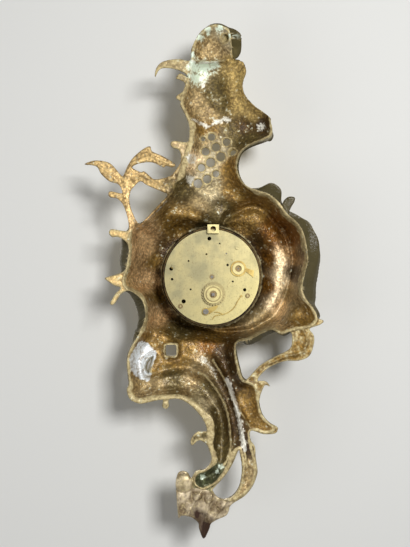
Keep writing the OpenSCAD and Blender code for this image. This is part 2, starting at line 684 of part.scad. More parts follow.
module ratchet_wheel() {
  c = barrel_at;
  side = winding_square * 0.8;
  color("#9C8F62") at_dial() translate([c[0], 0, c[1]]) flat(ratchet_y, 1.3) difference() {
    polygon([for (i = [0:ratchet_n - 1]) for (k = [0, 1])
      polar(ratchet_r - k * 0.9, (i + k * 0.15) * 360 / ratchet_n)]);
    square(side, center = true);
  }
}

module ratchet_collar() {
  side = winding_square * 0.8;
  color("#B9A468") at_dial() difference() {
    rod(barrel_at, ratchet_y + 1.5, 1.5, 6.6);
    difference() {
      rod(barrel_at, ratchet_y + 2, 1, 5.6);
      rod(barrel_at, ratchet_y + 2, 2, 4.8);
    }
    rod(barrel_at, ratchet_y + 2, 1.1, 2.7);
    square_rod(barrel_at, 0, 20, side);
  }
}

// Click that drops into the ratchet from its screw
module click() {
  color("#A8996A") at_dial() difference() {
    union() {
      rod(click_at, ratchet_y, 1.3, 2.6);
      flat(ratchet_y, 1.3)
        polygon([[3, -22.2], [-0.5, -21], [-3.5, -20], [-4.4, -20.9], [-2.5, -23.2], [1.5, -26]]);
    }
    rod(click_at, 0, 20, 1.3);
  }
}

module click_screw() {
  color("#6F7C86") at_dial() difference() {
    union() {
      rod(click_at, ratchet_y + 1.1, 1, 2);
      rod(click_at, ratchet_y + 0.2, 1.8, 1.3 - run_fit);
      rod(click_at, back_y, plate_t, 0.9);
    }
    translate([click_at[0] - 3, ratchet_y + 0.6, click_at[1] - 0.25]) cube([6, 1, 0.5]);
  }
}

// Bent wire along the lower edge of the plate, from its peg to the click
module click_spring() {
  peg = [-20.7, -13.5];
  blade = [[-0.4, -29.9], [-2.5, -27.4], [-7.9, -26.5], [-12.2, -24.7], [-15.7, -21.6], [-18.6, -16.5], peg];
  tongue = [[-2.2, -24.9], [-5, -25.1], [-7.9, -26.5]];
  color("#8F969A") at_dial() union() {
    flat(back_y + 1, 0.6) for (line = [blade, tongue]) {
      path = open_curve(line, 4);
      for (i = [0:len(path) - 2]) let (p = path[i], q = path[i + 1], u = (q - p) / norm(q - p) * 0.3)
        polygon([p + [-u[1], u[0]] - u, p + [u[1], -u[0]] - u, q + [u[1], -u[0]] + u, q + [-u[1], u[0]] + u]);
    }
    rod(peg, back_y + 1.2, 1.2, 0.8);
  }
}

module centre_arbor() {
  color("#7A8488") at_dial() {
    rod(centre_at, back_y, plate_t + 0.5, arbor_r);
    rod(centre_at, back_in - 0.3, plate_gap - 0.6, arbor_r + 0.1);
    rod(centre_at, front_in + 1, front_in + 1 - dial_front + 4.6, centre_r);
    flat(front_in + 8.4, 4.4) pinion_2d(centre_leaves, great_m, bearing(centre_at, barrel_at) + 180 / centre_leaves);
  }
}

module centre_wheel() {
  color("#CDB56C") at_dial()
    train_wheel(centre_at, centre_n, centre_m, bearing(centre_at, third_at), 2, arbor_r + 0.1);
}

module third_arbor() {
  color("#7A8488") at_dial() train_arbor(third_at, leaves, centre_m, bearing(third_at, centre_at) + 180 / leaves, 1.2, 2.8);
}

module third_wheel() {
  color("#CDB56C") at_dial()
    train_wheel(third_at, third_n, third_m, bearing(third_at, fourth_at), 9, train_r);
}

module fourth_arbor() {
  color("#7A8488") at_dial()
    train_arbor(fourth_at, leaves, third_m, bearing(fourth_at, third_at) + 180 / leaves, 8.2, 2.8);
}

module fourth_wheel() {
  color("#CDB56C") at_dial()
    train_wheel(fourth_at, fourth_n, fourth_m, bearing(fourth_at, escape_at), 13.5, train_r);
}

module escape_arbor() {
  color("#7A8488") at_dial()
    train_arbor(escape_at, leaves, fourth_m, bearing(escape_at, fourth_at) + 180 / leaves, 12.8, 2.8);
}

module escape_wheel() {
  c = escape_at;
  color("#CDB56C") at_dial() translate([c[0], 0, c[1]]) flat(front_in + 7.5, 1) difference() {
    polygon([for (i = [0:escape_n - 1]) for (k = [0:2])
      polar([4.2, 4.2, 3][k], (i + [0, 0.12, 0.3][k]) * 360 / escape_n)]);
    circle(r = train_r);
  }
}

// Lever with two pallets toward the escape wheel and a fork toward the balance
module pallet_lever() {
  c = lever_at;
  color("#B9A468") at_dial() {
    translate([c[0], 0, c[1]]) flat(front_in + 7.4, 0.8) rotate(bearing(escape_at, balance_at))
      difference() {
        union() {
          circle(r = 1.2);
          polygon([[-0.6, -3.6], [0.5, -3.6], [0.6, -0.6], [4.6, -0.5], [4.6, 0.5], [0.6, 0.6], [0.5, 3.6],
            [-0.6, 3.6]]);
          polygon([[-2, -3.6], [-0.4, -3.6], [-0.4, -2.8], [-2, -3]]);
          polygon([[-2, 3.6], [-0.4, 3.6], [-0.4, 2.8], [-2, 3]]);
        }
        polygon([[4, -0.25], [5, -0.25], [5, 0.25], [4, 0.25]]);
      }
    rod(c, back_in - 0.3, plate_gap - 0.6, 0.7);
    rod(c, back_in + 1.3, plate_gap + 2.2, pivot_r);
  }
}

module balance_wheel() {
  c = balance_at;
  color("#D6BE74") at_dial() translate([c[0], 0, c[1]]) flat(front_in + 12, 1.4) union() {
    difference() {
      circle(r = 6.4);
      circle(r = 5.2);
    }
    difference() {
      union() {
        square([11, 1.4], center = true);
        circle(r = 1.6);
      }
      circle(r = 0.8);
    }
  }
}

module balance_staff() {
  color("#7A8488") at_dial() {
    rod(balance_at, back_in - 0.3, plate_gap - 0.6, 0.8);
    rod(balance_at, back_in + 1.3, plate_gap + 2.2, pivot_r);
    rod(balance_at, front_in + 8, 1.6, 1.7);
  }
}

module hairspring() {
  c = balance_at;
  color("#4F6272") at_dial() translate([c[0], 0, c[1]])
    flat(front_in + 15.2, 0.8) polygon(ribbon(0.95, 4.6, 5, 0.24, 90));
}

module cannon_pinion() {
  color("#8F969A") at_dial() difference() {
    union() {
      rod(centre_at, front_y - 0.4, front_y - 0.4 - dial_front + 3.1, cannon_r);
      flat(front_y - 0.6, 1.8) pinion_2d(cannon_n, motion_m, bearing(centre_at, minute_at) + 180 / cannon_n);
    }
    rod(centre_at, 0, 80, centre_r);
  }
}

module minute_post() {
  color("#7A8488") at_dial() union() {
    rod(minute_at, front_in, plate_t, 0.8);
    rod(minute_at, front_y, 0.6 * motion_room, 0.7);
  }
}

module minute_wheel() {
  c = minute_at;
  color("#CDB56C") at_dial() translate([c[0], 0, c[1]]) difference() {
    union() {
      flat(front_y - 0.8, 1.3) wheel_2d(minute_n, motion_m, bearing(minute_at, centre_at));
      flat(front_y - 2, 3.4) pinion_2d(minute_leaves, hour_m, bearing(minute_at, centre_at));
    }
    rod([0, 0], 0, 80, 0.7 + run_fit);
  }
}

module hour_wheel() {
  color("#CDB56C") at_dial() difference() {
    union() {
      flat(front_y - 3.4, 1.3) wheel_2d(hour_n, hour_m, bearing(centre_at, minute_at) + 180 / hour_n);
      rod(centre_at, front_y - 3.4, front_y - 3.4 - dial_front + 1.5, hour_tube_r);
    }
    rod(centre_at, 0, 80, cannon_r + run_fit);
  }
}

case_body();
crest();
neck_panel();
tail_scroll();
tail_stem();
tail_leaf();
leaf_spray();
side_branch();
movement_drum();
seat_screws();
bezel_seat();
hinge_pin();
bezel();
glass();
dial_plate();
dial();
winding_ferrule();
hour_hand();
minute_hand();
hand_nut();
back_plate();
front_plate();
pillars();
pillar_screws();
fixing_block();
balance_boss();
regulator_index();
barrel();
barrel_cap();
mainspring();
barrel_arbor();
ratchet_wheel();
ratchet_collar();
click();
click_screw();
click_spring();
centre_arbor();
centre_wheel();
third_arbor();
third_wheel();
fourth_arbor();
fourth_wheel();
escape_arbor();
escape_wheel();
pallet_lever();
balance_wheel();
balance_staff();
hairspring();
cannon_pinion();
minute_post();
minute_wheel();
hour_wheel();
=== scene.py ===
"""Looks of a cast-brass cartel clock seen from behind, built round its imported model."""

import bpy
import numpy as np
from bpy.props import FloatProperty, FloatVectorProperty, IntProperty, PointerProperty
from mathutils import Euler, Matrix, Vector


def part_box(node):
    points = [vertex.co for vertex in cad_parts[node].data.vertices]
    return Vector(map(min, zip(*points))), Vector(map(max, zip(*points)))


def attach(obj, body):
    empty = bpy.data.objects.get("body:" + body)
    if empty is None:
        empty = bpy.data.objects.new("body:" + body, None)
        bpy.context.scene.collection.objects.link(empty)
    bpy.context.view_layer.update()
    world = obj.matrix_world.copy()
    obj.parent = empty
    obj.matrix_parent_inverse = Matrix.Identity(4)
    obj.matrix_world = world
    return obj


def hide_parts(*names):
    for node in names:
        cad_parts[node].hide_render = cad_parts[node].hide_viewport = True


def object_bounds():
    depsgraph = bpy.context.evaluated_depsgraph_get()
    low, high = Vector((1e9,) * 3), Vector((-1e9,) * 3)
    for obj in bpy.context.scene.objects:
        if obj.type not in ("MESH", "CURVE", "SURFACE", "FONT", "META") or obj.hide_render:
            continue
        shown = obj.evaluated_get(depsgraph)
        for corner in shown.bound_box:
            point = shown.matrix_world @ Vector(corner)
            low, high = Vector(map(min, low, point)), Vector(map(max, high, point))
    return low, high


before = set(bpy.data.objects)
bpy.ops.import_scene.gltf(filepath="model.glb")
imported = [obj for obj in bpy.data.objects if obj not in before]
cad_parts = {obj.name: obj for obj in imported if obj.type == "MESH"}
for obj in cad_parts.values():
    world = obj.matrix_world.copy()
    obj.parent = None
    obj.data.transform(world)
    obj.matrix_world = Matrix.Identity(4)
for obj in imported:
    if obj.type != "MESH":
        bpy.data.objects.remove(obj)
cad_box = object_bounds()

bl_info = {
    "name": "Cartel clock",
    "version": (1, 0, 0),
    "blender": (4, 5, 0),
    "location": "View3D > Sidebar > Clock",
    "description": "Casting, finishes and stage of a small cartel clock",
    "category": "Object",
}

MM = 0.001

# Places read from the photograph are in its pixels; the back plate's centre ties them to the frame
PLATE_LOW, PLATE_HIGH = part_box("back_plate")
DIAL_X = (PLATE_LOW.x + PLATE_HIGH.x) / 2
DIAL_Z = (PLATE_LOW.z + PLATE_HIGH.z) / 2
DIAL_PIXEL = (212.0, 277.0)
PIXEL = 0.7 * MM

# The edge of the whole casting, clockwise from the top left, one stretch after another
CREST_EDGE = [
    (190, 60), (191, 50), (193, 44), (199, 33), (207, 26), (216, 23.5), (225, 26), (229, 28), (231, 36),
    (232, 46), (233, 58), (234, 61), (240, 60), (244, 62), (246.5, 71), (243, 81), (242.5, 87), (246, 95),
    (255, 105), (268, 113), (272, 117), (271, 122), (274.5, 131), (274.5, 135), (272, 138.5), (266, 139)]
NECK_RIGHT_EDGE = [(252, 144), (243, 150), (238, 160), (237.5, 167), (242, 180), (251, 187)]
BODY_RIGHT_EDGE = [
    (264, 191), (274, 197), (281, 203), (283.5, 203), (286, 198.5), (290.5, 195), (296.5, 195.5),
    (296.5, 200), (293, 206), (291, 213), (297, 221), (304, 232), (308, 245), (309, 258), (306, 272),
    (303, 285), (303, 291), (309, 303), (316, 312), (318, 318), (324, 321), (320, 325), (310, 329)]
BRANCH_EDGE = [
    (314, 335), (314.5, 343), (310, 356), (299, 361), (285, 361.5), (270, 367.5), (260, 376), (258, 381)]
STEM_EDGE = [
    (264, 381), (268, 383), (270, 387), (267, 385.5), (264, 387), (260, 398), (260, 410), (268, 421.5),
    (277, 427), (278, 430), (275, 434), (263, 434.5), (251, 431), (250.5, 440), (255, 447), (256, 458),
    (257.5, 468), (257.5, 475), (253, 487), (245, 497), (234, 504)]
FOOT_EDGE = [
    (230, 508), (229, 512), (226, 517), (217, 521), (211, 525), (209, 531), (203.5, 540), (199, 530),
    (198, 524), (190, 518), (181, 517), (178.5, 520), (177, 508), (176, 492), (175.5, 483), (178, 474),
    (183, 472), (188, 474), (191, 479)]
SCROLL_EDGE = [
    (196, 472), (205, 470), (211.5, 460), (208, 447), (203, 442), (198, 441), (192, 446), (190.5, 441),
    (193, 436), (198, 432), (207, 431), (203, 420), (192, 407), (180, 399.5), (169, 400), (169, 406),
    (167, 409), (164, 409), (162, 406), (162, 400), (147, 403), (140, 404), (130, 400), (126.5, 390),
    (129.5, 383), (127, 371), (127, 358), (131, 347), (138, 335)]
BODY_LEFT_EDGE = [
    (144, 321), (145, 314), (142, 301), (132, 292), (127, 291), (121, 294), (115, 303), (112, 305),
    (110, 303), (115, 294), (120, 288), (113, 285), (105, 279), (107, 277), (120, 273), (126, 268),
    (127.5, 258), (128.5, 250), (126, 242), (118, 237), (112, 237), (109, 234), (109, 231), (112, 229),
    (126, 231)]
SPRAY_EDGE = [
    (128.5, 227), (127.5, 218), (123, 205), (117, 198.5), (110, 197), (108, 194), (110, 191), (120, 193),
    (122, 191), (118, 184), (109, 181), (101, 174), (97, 167), (92, 165), (84, 164), (90, 161), (98, 160),
    (110, 163), (120, 174), (123, 175), (127, 166), (133, 157), (143, 148.5), (150, 146), (152, 151),
    (163, 156), (175, 164), (172, 167), (166, 165.5), (163, 167), (152, 162), (139, 163), (132, 167),
    (140, 171.5), (144, 171), (150, 176), (155, 179), (168, 176.5)]
NECK_LEFT_EDGE = [
    (174, 172), (181, 160), (179, 150), (172, 147), (170.5, 143), (174, 140.5), (186, 142), (189, 138),
    (189, 125), (184, 112), (180, 104), (181, 101), (176, 98), (177, 95), (182.5, 91), (185, 83),
    (179, 79), (176, 78), (180, 73), (188, 77), (184, 72), (172, 68), (160, 68.5), (155, 77), (156, 68),
    (163, 61), (178, 58.5)]
CASTING_EDGE = (
    CREST_EDGE + NECK_RIGHT_EDGE + BODY_RIGHT_EDGE + BRANCH_EDGE + STEM_EDGE + FOOT_EDGE + SCROLL_EDGE
    + BODY_LEFT_EDGE + SPRAY_EDGE + NECK_LEFT_EDGE)

# The hollow part of the casting, without its thin leaves and spurs
CORE_EDGE = [
    (191, 60), (193, 45), (199, 34), (207, 27), (217, 24), (226, 27), (231, 34), (233, 58), (240, 60),
    (245, 68), (243, 86), (246, 95), (254, 104), (264, 111), (271, 118), (273, 133), (268, 138.5),
    (257, 142), (247, 147), (240, 154), (237.5, 165), (240, 176), (247, 185), (258, 189.5), (269, 193),
    (279, 201), (288, 213), (298, 222), (305, 234), (309, 258), (306, 272), (303, 286), (305, 297),
    (313, 307), (318, 318), (313, 326), (304, 329), (292, 331), (281, 334), (272, 330), (250, 340),
    (240, 342), (236, 346), (236, 355), (239, 368), (243, 379), (252, 383), (258, 390), (259, 402),
    (262, 414), (268, 422), (276, 429), (266, 434), (251, 431), (251, 442), (256, 462), (256, 476),
    (252, 487), (243, 496), (232, 502), (222, 500), (231, 498), (239, 488), (242, 472), (240, 455),
    (238, 450), (228, 471), (220, 481), (211, 487), (203, 490), (195, 486), (193, 479), (197, 472),
    (205, 470), (210, 465), (211.5, 457), (208, 447), (206, 427), (200, 415), (192, 407), (182, 400),
    (170, 399.5), (154, 401), (140, 404), (131, 400), (127, 392), (128.5, 384), (127, 358), (132, 346),
    (138, 335), (143, 324), (145, 313), (142, 301), (134, 293), (125, 289), (122, 281), (125, 270),
    (128.5, 250), (128, 238), (133, 227), (142, 224), (153, 212), (170, 194), (175, 184), (183, 158),
    (189, 138), (189, 126), (185, 114), (180, 104), (182, 94), (189, 74)]

# The round body, clockwise: its rim, and where the edges of the hollow and of the front leave it
BODY_RIGHT_RIM = [
    (258, 189.5), (269, 193), (279, 201), (288, 213), (298, 222), (305, 234), (309, 258), (306, 272),
    (303, 286)]
BODY_LEFT_RIM = [
    (250, 340), (240, 342), (232, 344), (212, 346), (190, 345), (165, 340), (150, 335), (139, 333),
    (143, 324), (145, 313), (142, 301), (134, 293), (125, 289), (122, 281), (125, 270), (128.5, 250),
    (128, 238), (133, 227), (142, 224)]
HOLLOW_LOW_RIGHT = [(300, 297), (295, 308), (288, 319), (278, 327), (266, 333)]
HOLLOW_TOP = [
    (150, 219), (165, 212), (185, 214), (205, 221), (220, 222), (224, 212), (229, 204), (238, 198),
    (250, 192)]
HOLLOW_EDGE = BODY_RIGHT_RIM + HOLLOW_LOW_RIGHT + BODY_LEFT_RIM + HOLLOW_TOP
FRONT_LOW_RIGHT = [
    (305, 297), (313, 307), (318, 318), (313, 326), (304, 329), (292, 331), (281, 334), (272, 330)]
FRONT_TOP = [(153, 212), (170, 194), (190, 194), (212, 193), (236, 191)]
FRONT_EDGE = BODY_RIGHT_RIM + FRONT_LOW_RIGHT + BODY_LEFT_RIM + FRONT_TOP

# Openings right through the casting
SPRAY_GAP = [
    (140, 181), (147, 185), (162, 191.5), (167, 195), (157, 206), (145, 219), (138, 223), (131, 209),
    (129, 200), (130, 192), (133, 187)]
BRANCH_GAP = [
    (236, 344), (250, 340), (265, 333), (272, 330), (282, 335), (290, 332), (292.5, 338), (290, 349),
    (275, 357), (260, 366), (247, 379.5), (243, 379), (238, 362)]
STEM_GAP = [
    (238, 452), (233, 464), (225, 477), (214, 489), (213, 492), (219, 499), (230, 499), (239, 489),
    (242, 474), (242.5, 466), (240, 452)]
SQUARE_GAP = [
    (165, 346.5), (170, 346), (175.5, 346.5), (176, 352), (175.5, 357), (170, 357.5), (165, 357),
    (164.5, 352)]
CRESCENT_GAP = [
    (153, 357), (149, 358.5), (145, 363), (143.5, 369), (145, 374), (148, 376), (150, 370), (152, 363)]
GAPS = (SPRAY_GAP, BRANCH_GAP, STEM_GAP, SQUARE_GAP, CRESCENT_GAP)
# Round piercings: centre and radius
GRILLE = [
    (203.2, 136.7, 2), (211.7, 134.5, 3.7), (227, 139.5, 3.8), (216.2, 144.7, 4.2), (205.7, 149.3, 3.9),
    (232.5, 150, 3.7), (221, 154.5, 4.5), (210.8, 160.4, 4.6), (201.4, 165.7, 3.7), (216.2, 171.8, 3.3),
    (207.2, 177.3, 4.2), (197.9, 181.8, 4.4), (225, 37, 3.9)]

# Floor of the hollow, under the finish found there: place and depth in mm
FLOOR = {
    # Tan: rubbed lacquer; at (263, 320), (294, 296) and (204, 367) it also stands for a painted highlight
    "tan": [
        (214, 45, 9), (202, 60, 9), (197, 98, 9), (206, 110, 11), (199, 142, 11), (200, 204, 17),
        (263, 320, 20), (294, 296, 18), (150, 392, 11), (190, 379, 14), (204, 367, 16), (250, 472, 4),
        (240, 494, 3)],
    "grey": [
        (226, 36, 4), (216, 150, 12), (206, 172, 12)],
    # Pale: lacquer rubbed through; at (205, 405) it stands for a painted highlight along the scroll's lip
    "pale": [
        (199, 72, 11), (210, 192, 15), (205, 405, 12)],
    "olive": [
        (214, 86, 14), (219, 98, 14), (250, 137, 10), (232, 134, 12), (184, 184, 11), (205, 224, 25),
        (222, 208, 20), (180, 330, 20), (176, 378, 13), (207, 395, 13), (216, 412, 11), (218, 432, 10),
        (221, 456, 8)],
    "gold": [
        (236, 66, 6), (236, 82, 6), (238, 97, 8), (254, 111, 8)],
    # Dark: lacquer gathered in hollows; next to the movement plate and on the steep right wall of the bowl
    # it is painted shade
    "dark": [
        (263, 124, 9), (247, 125, 12), (161, 270, 20), (163, 250, 20), (167, 300, 20), (264, 262, 20),
        (261, 240, 20), (262, 286, 20), (250, 302, 20), (304, 250, 18), (300, 275, 18), (218, 353, 17),
        (222, 366, 15), (230, 384, 12), (226, 408, 10), (234, 428, 8), (249, 446, 6)],
    "ochre": [
        (205, 127, 11), (232, 168, 12), (234, 190, 15), (195, 213, 20), (175, 222, 18), (154, 262, 20),
        (160, 300, 20), (262, 208, 18), (246, 222, 20), (212, 335, 22), (303, 316, 9), (302, 348, 9),
        (281, 359, 9), (150, 365, 10), (178, 364, 13), (250, 405, 7), (262, 426, 4), (185, 352, 15),
        (160, 345, 12)],
    # Painted highlight: the broad gloss on the right swelling of the bowl and a pale spot inside the neck
    "rubbed": [
        (190, 160, 10), (285, 258, 20), (284, 280, 20), (280, 302, 20)],
    # Red: pinkish lacquer, lightened as painted light on the lit left wall of the bowl and on the right
    # crease
    "red": [
        (140, 250, 16), (148, 278, 16), (141, 233, 16), (156, 312, 16), (293, 252, 18)],
    "brown": [
        (280, 222, 18), (272, 258, 20), (271, 236, 20), (270, 286, 20), (294, 240, 18), (210, 349, 17)],
    "green": [
        (213, 470, 8), (205, 480, 8)],
    "gilt": [
        (140, 176, 9), (118, 190, 9), (155, 158, 9), (120, 235, 9), (113, 290, 9)]}
# Width of the flat rim in mm
RIM = [
    (140, 400, 3.2), (185, 402, 3.4), (207, 427, 4.8), (198, 411, 4), (211, 453, 3.6), (128, 370, 1.6),
    (250, 440, 1.5), (246, 482, 1.6), (309, 250, 2.6), (303, 286, 2.2), (128, 250, 2.1), (145, 315, 2),
    (189, 130, 3.8), (180, 168, 4.2), (172, 190, -0.6), (158, 206, -0.8), (146, 219, -0.6),
    (184, 106, 2.2), (239, 160, 0.8), (273, 130, 1.3), (215, 25, 1.2), (316, 318, 1.6), (236, 350, 1),
    (262, 334, 1.1), (260, 400, 1.3), (244, 72, -1), (245, 95, -1), (258, 107, -0.6), (203, 471, 1.2),
    (196, 483, 1.2), (276, 198, 2.7), (298, 222, 2.6)]
# How far the leaves and spurs lie below the plane of the rim in mm
SETBACK = [
    (203, 510, 3), (184, 484, 3), (150, 180, 2), (110, 175, 2), (305, 345, 2), (270, 362, 2),
    (165, 65, 1), (180, 95, 1), (180, 146, 1), (115, 235, 1), (112, 295, 1), (165, 405, 1), (197, 438, 1),
    (268, 385, 1), (322, 321, 1), (292, 199, 14), (288, 204, 14), (295, 197, 14)]
# How far the front swells beyond the rim in mm
SWELL = [
    (309, 250, 11), (303, 226, 9.5), (294, 217, 6), (289, 210, 3), (282, 204, 1), (275, 197, 11),
    (267, 192, 11), (256, 188, 2), (304, 285, 11.5), (313, 307, 5), (318, 318, 1), (128, 250, 7),
    (145, 315, 7), (122, 281, 4), (135, 225, 4), (153, 212, 1), (170, 194, 0), (189, 130, 0.8),
    (238, 165, 3), (252, 144, 2), (273, 130, 1), (185, 90, 0.8), (232, 38, 10), (224, 25, 4),
    (195, 40, 0.5), (245, 75, 0.8), (127, 370, 2), (140, 404, 0.8), (206, 430, 0.8), (251, 440, 0.8),
    (250, 339, 5), (236, 355, 3), (272, 330, 4), (259, 400, 1.5), (300, 330, 1), (205, 205, 0),
    (180, 200, 0), (225, 200, 0), (212, 346, 0), (180, 342, 0), (236, 344, 1)]
# Raised lines: height and half width in mm, power of the fall to each side, brightness of the crest (bare
# brass laid as a painted highlight), places
RIDGES = {
    "scroll fold": (4, 4, 2, 0, [(158, 374), (175, 369.5), (190, 369.5), (203, 377)]),
    "scroll crease": (8, 2.6, 0.9, 1, [
        (199, 374), (205, 377), (214, 387.5), (224, 404), (228.5, 420), (230, 432), (230.5, 447),
        (227, 460), (221, 469)]),
    "scroll lip": (2, 3, 2, 0, [
        (158, 385), (178, 383), (192, 389), (203, 398.5), (211, 412), (214, 424)]),
    "stem ridge": (8, 2.4, 0.9, 0.9, [
        (213, 362), (219, 371), (226, 383), (230, 392), (234, 403), (237, 412), (240, 424), (242.5, 440),
        (245, 453), (247, 467)]),
    "spur ridge": (4, 1.6, 1, 0.4, [(234, 403), (239, 410), (245.5, 420), (251, 429)]),
    "hollow crease": (1.1, 1.3, 1.2, 0.1, [
        (266, 203), (276, 213), (285, 226), (291, 238), (294.5, 255), (294, 272), (289, 290)]),
    "crest ledge": (7, 1.6, 1.2, 0.9, [(192, 60), (205, 61), (216, 61), (226, 59)]),
    "neck fold": (1.5, 1.4, 1.2, 0.2, [(178, 186), (184, 170), (191, 150), (193, 130)]),
    "branch vein": (1.5, 1.2, 1.2, 0.4, [
        (298, 322), (305, 333), (307, 344), (300, 353), (285, 357), (268, 364)]),
    "outer leaf vein": (1.2, 1, 1.2, 0.3, [
        (86, 163), (100, 167), (112, 176), (121, 187), (125, 200), (128, 222)]),
    "inner leaf vein": (1.2, 1, 1.2, 0.3, [(123, 186), (129, 168), (145, 154), (160, 160), (172, 165)]),
    "arm vein": (1.2, 1, 1.2, 0.3, [(132, 180), (145, 177), (160, 184), (172, 177)]),
    "foot vein": (2.6, 1.8, 1.2, 0.3, [(212, 494), (207, 510), (204, 537)]),
    "left foot fold": (2.2, 1.6, 1.2, 0.5, [(201, 492), (194, 503), (188, 516)]),
    "right foot fold": (2, 1.6, 1.2, 0.4, [(226, 503), (220, 511), (213, 520)]),
    "foot edge": (1.8, 1.4, 1.2, 0.2, [(180, 497), (179, 507), (180, 516)])}
# Round knobs: centre and radius, height in mm, how bright they are
KNOBS = [
    (184, 484, 9.5, 2.8, 0.8), (280.5, 204.5, 4.5, 2, 0.8), (165, 404, 3, 0.8, 0.8),
    (197, 497, 5, 1.8, 0.3), (209, 499, 5, 1.6, 0.3), (221, 505, 5, 1.6, 0.2), (187, 508, 4, 1.2, 0.2)]
# Patches on the surface
SILVER_PATCH = [
    (141, 341), (153, 350), (156, 356), (154, 363), (150, 372), (151, 379), (146, 384), (134, 377),
    (129, 363), (132, 352)]
# Lines of solder and of painted glints: half width in mm, strength, places; the first two are solder along
# the seam, the rest painted glints on ridges, rims and the crest's ledge
SOLDER_AND_GLINT_LINES = [
    (1.5, 0.9, [(193, 119), (203, 122), (209, 124), (216, 120)]),
    (2.2, 0.9, [(216, 120), (223, 117), (229, 117)]),
    (1.9, 1.2, [(227, 381), (231, 391), (235, 403), (237.5, 413), (240, 424), (242, 436), (245, 450)]),
    (3, 0.75, [(201, 361), (207, 366), (214, 374)]),
    (0.6, 0.9, [(192, 60.5), (199, 61.5), (208, 61.5), (217, 61)]),
    (0.6, 0.8, [(137, 184), (131.5, 190), (130, 200), (132.5, 210), (138, 222)]),
    (0.5, 0.7, [(168, 199), (157, 210), (149, 218), (142, 226)])]
# Spots of copper green: centre and radius in pixels; the last three, at the volute, are painted glints in
# its colour
VERDIGRIS_AND_GLINTS = [
    (194, 66, 8), (204, 66, 9), (196, 76, 8), (214, 63, 6), (208, 30, 4), (220, 28, 4), (229, 36, 3),
    (192, 54, 4), (200, 36, 4), (202.5, 478, 2.9), (220.5, 467.5, 2.9), (217, 473, 2.3)]
# Spots of solder, which at (203, 82) and (191, 158) also stand for painted glints: centre and radius in
# pixels
SOLDER_AND_GLINT_SPOTS = [(262, 124, 5), (227, 117, 4), (203, 82, 2.5), (191, 158, 6), (190, 178, 5)]

# Rings of old oil, turned grooves and painted shadow round the raised boss and collar on the back plate:
# centre, outer and inner radius in mm, strength
OIL_AND_SHADOW_RINGS = [
    (212, 277, 2.1, 0, 0.7), (238.7, 268.6, 5, 4.3, 0.6), (238.7, 268.6, 2.5, 0, 0.8),
    (213.2, 294.5, 5.6, 4.8, 0.6), (213.2, 294.5, 2.8, 0, 0.8), (213.2, 294.5, 9, 6.4, 0.3),
    (170.5, 269, 1.6, 0, 0.5), (180.3, 306.6, 1.8, 0.9, 0.9), (248.1, 295.9, 1.8, 0.9, 0.9),
    (206, 312, 2.5, 0, 0.5)]
# The dial: ends of numerals and minute track as shares of its radius, and widths of the bars in mm
NUMERAL_ENDS = (0.72, 0.88)
TRACK_ENDS = (0.91, 0.955)
HOUR_BAR, MINUTE_BAR, TRACK_LINE = 0.8, 0.25, 0.2
# The strokes of each letter: its advance, then inner end, outer end and width in mm
NUMERALS = ["XII", "I", "II", "III", "IIII", "V", "VI", "VII", "VIII", "IX", "X", "XI"]
STROKES = {
    "I": (1.9, [(0, 0, 0.9)]),
    "V": (3.4, [(0, -1.3, 0.9), (0, 1.3, 0.35)]),
    "X": (3.4, [(1.2, -1.2, 0.9), (-1.2, 1.2, 0.35)])}

# Parts of the casting with their slots, in the order in which they take up its cells
PART_SLOTS = {
    "leaf_spray": "gilt_leaf", "side_branch": "cast_brass", "tail_leaf": "foot_bronze",
    "crest": "lacquered_brass", "neck_panel": "lacquered_brass", "case_body": "lacquered_brass",
    "tail_scroll": "lacquered_brass", "tail_stem": "lacquered_brass"}
# The seams between them: each gives one pixel axis from the other
CREST_SEAM = ([180, 200, 209, 218, 280], [118, 119, 123, 119, 118])
NECK_SEAM = ([165, 212, 260], [198, 193, 190])
TAIL_SEAM = ([136, 165, 190, 212, 236, 246], [337, 338, 344, 345.6, 345, 341])
STEM_SEAM = (
    [337, 353, 369, 386, 406, 428, 440, 452, 460, 472, 483, 491],
    [165, 190, 203, 213, 223, 229, 232, 238, 236, 229, 220, 213])
FOOT_SEAM = ([192, 207, 236], [489, 491, 504])
NECK_RIGHT = 259
FOOT_RIGHT = 236
# Boxes of pixels that take up the rest of a part: left, top, right, bottom
SPRAY_BOXES = [(0, 154, 182, 229), (0, 138, 166, 229)]
BRANCH_BOXES = [(284, 328, 410, 380.5), (247, 345, 410, 380.5)]
LUMP_BOXES = [(0, 468, 192.5, 547)]
BODY_BOXES = [(246, 0, 410, 346)]

# The dark tip of the foot: a place on its slanting middle line, and where it starts and is full
TIP_MIDDLE = (196, 508)
TIP_REACH = (497, 521)
# Section of the body's front from the rim to the dial's seat: shares of the way, of the height, of the
# swelling and of the step inward. Past the crown the height is counted from the seat.
FRONT_SECTION = [
    (0, 0, 0, 0), (0.08, 0.14, 0.75, 0), (0.2, 0.36, 1, 0), (0.34, 0.6, 0.85, 0), (0.5, 0.86, 0.2, 0.1),
    (0.72, 1, 0, 0.45), (0.9, 0.5, 0, 0.82), (1, 0, 0, 1)]
CROWN_AT = 0.72

# How far from an edge distances are worked out, for the metal and for its hollow
EDGE_REACH = 6 * MM
CORE_REACH = 45 * MM
# Flat left round the two small openings, half width of a ridge's painted bright crest, and width of the
# painted shade in the gap round the movement
GAP_LIP = 6 * MM
CREST_HALF = 0.7 * MM
GAP_SHADE_WIDTH = 3 * MM
# Least thickness of the wall, and of a leaf at its edge
LEAST_WALL = 1 * MM
LEAST_LEAF = 0.4 * MM
# Spurs that lie this far below the plane of the rim start to be gilded, and are gilded all over
GILT_SETBACK = (4 * MM, 7 * MM)
# Most of the hollow's depth that a ridge may fill
RIDGE_SHARE = 0.85
# The floor under the clock: half its width, and how far it lies below the clock's front
FLOOR_HALF = 3.0
FLOOR_GAP = 1 * MM
# A length too small to show, which keeps a division from zero
TINY = 0.1 * MM
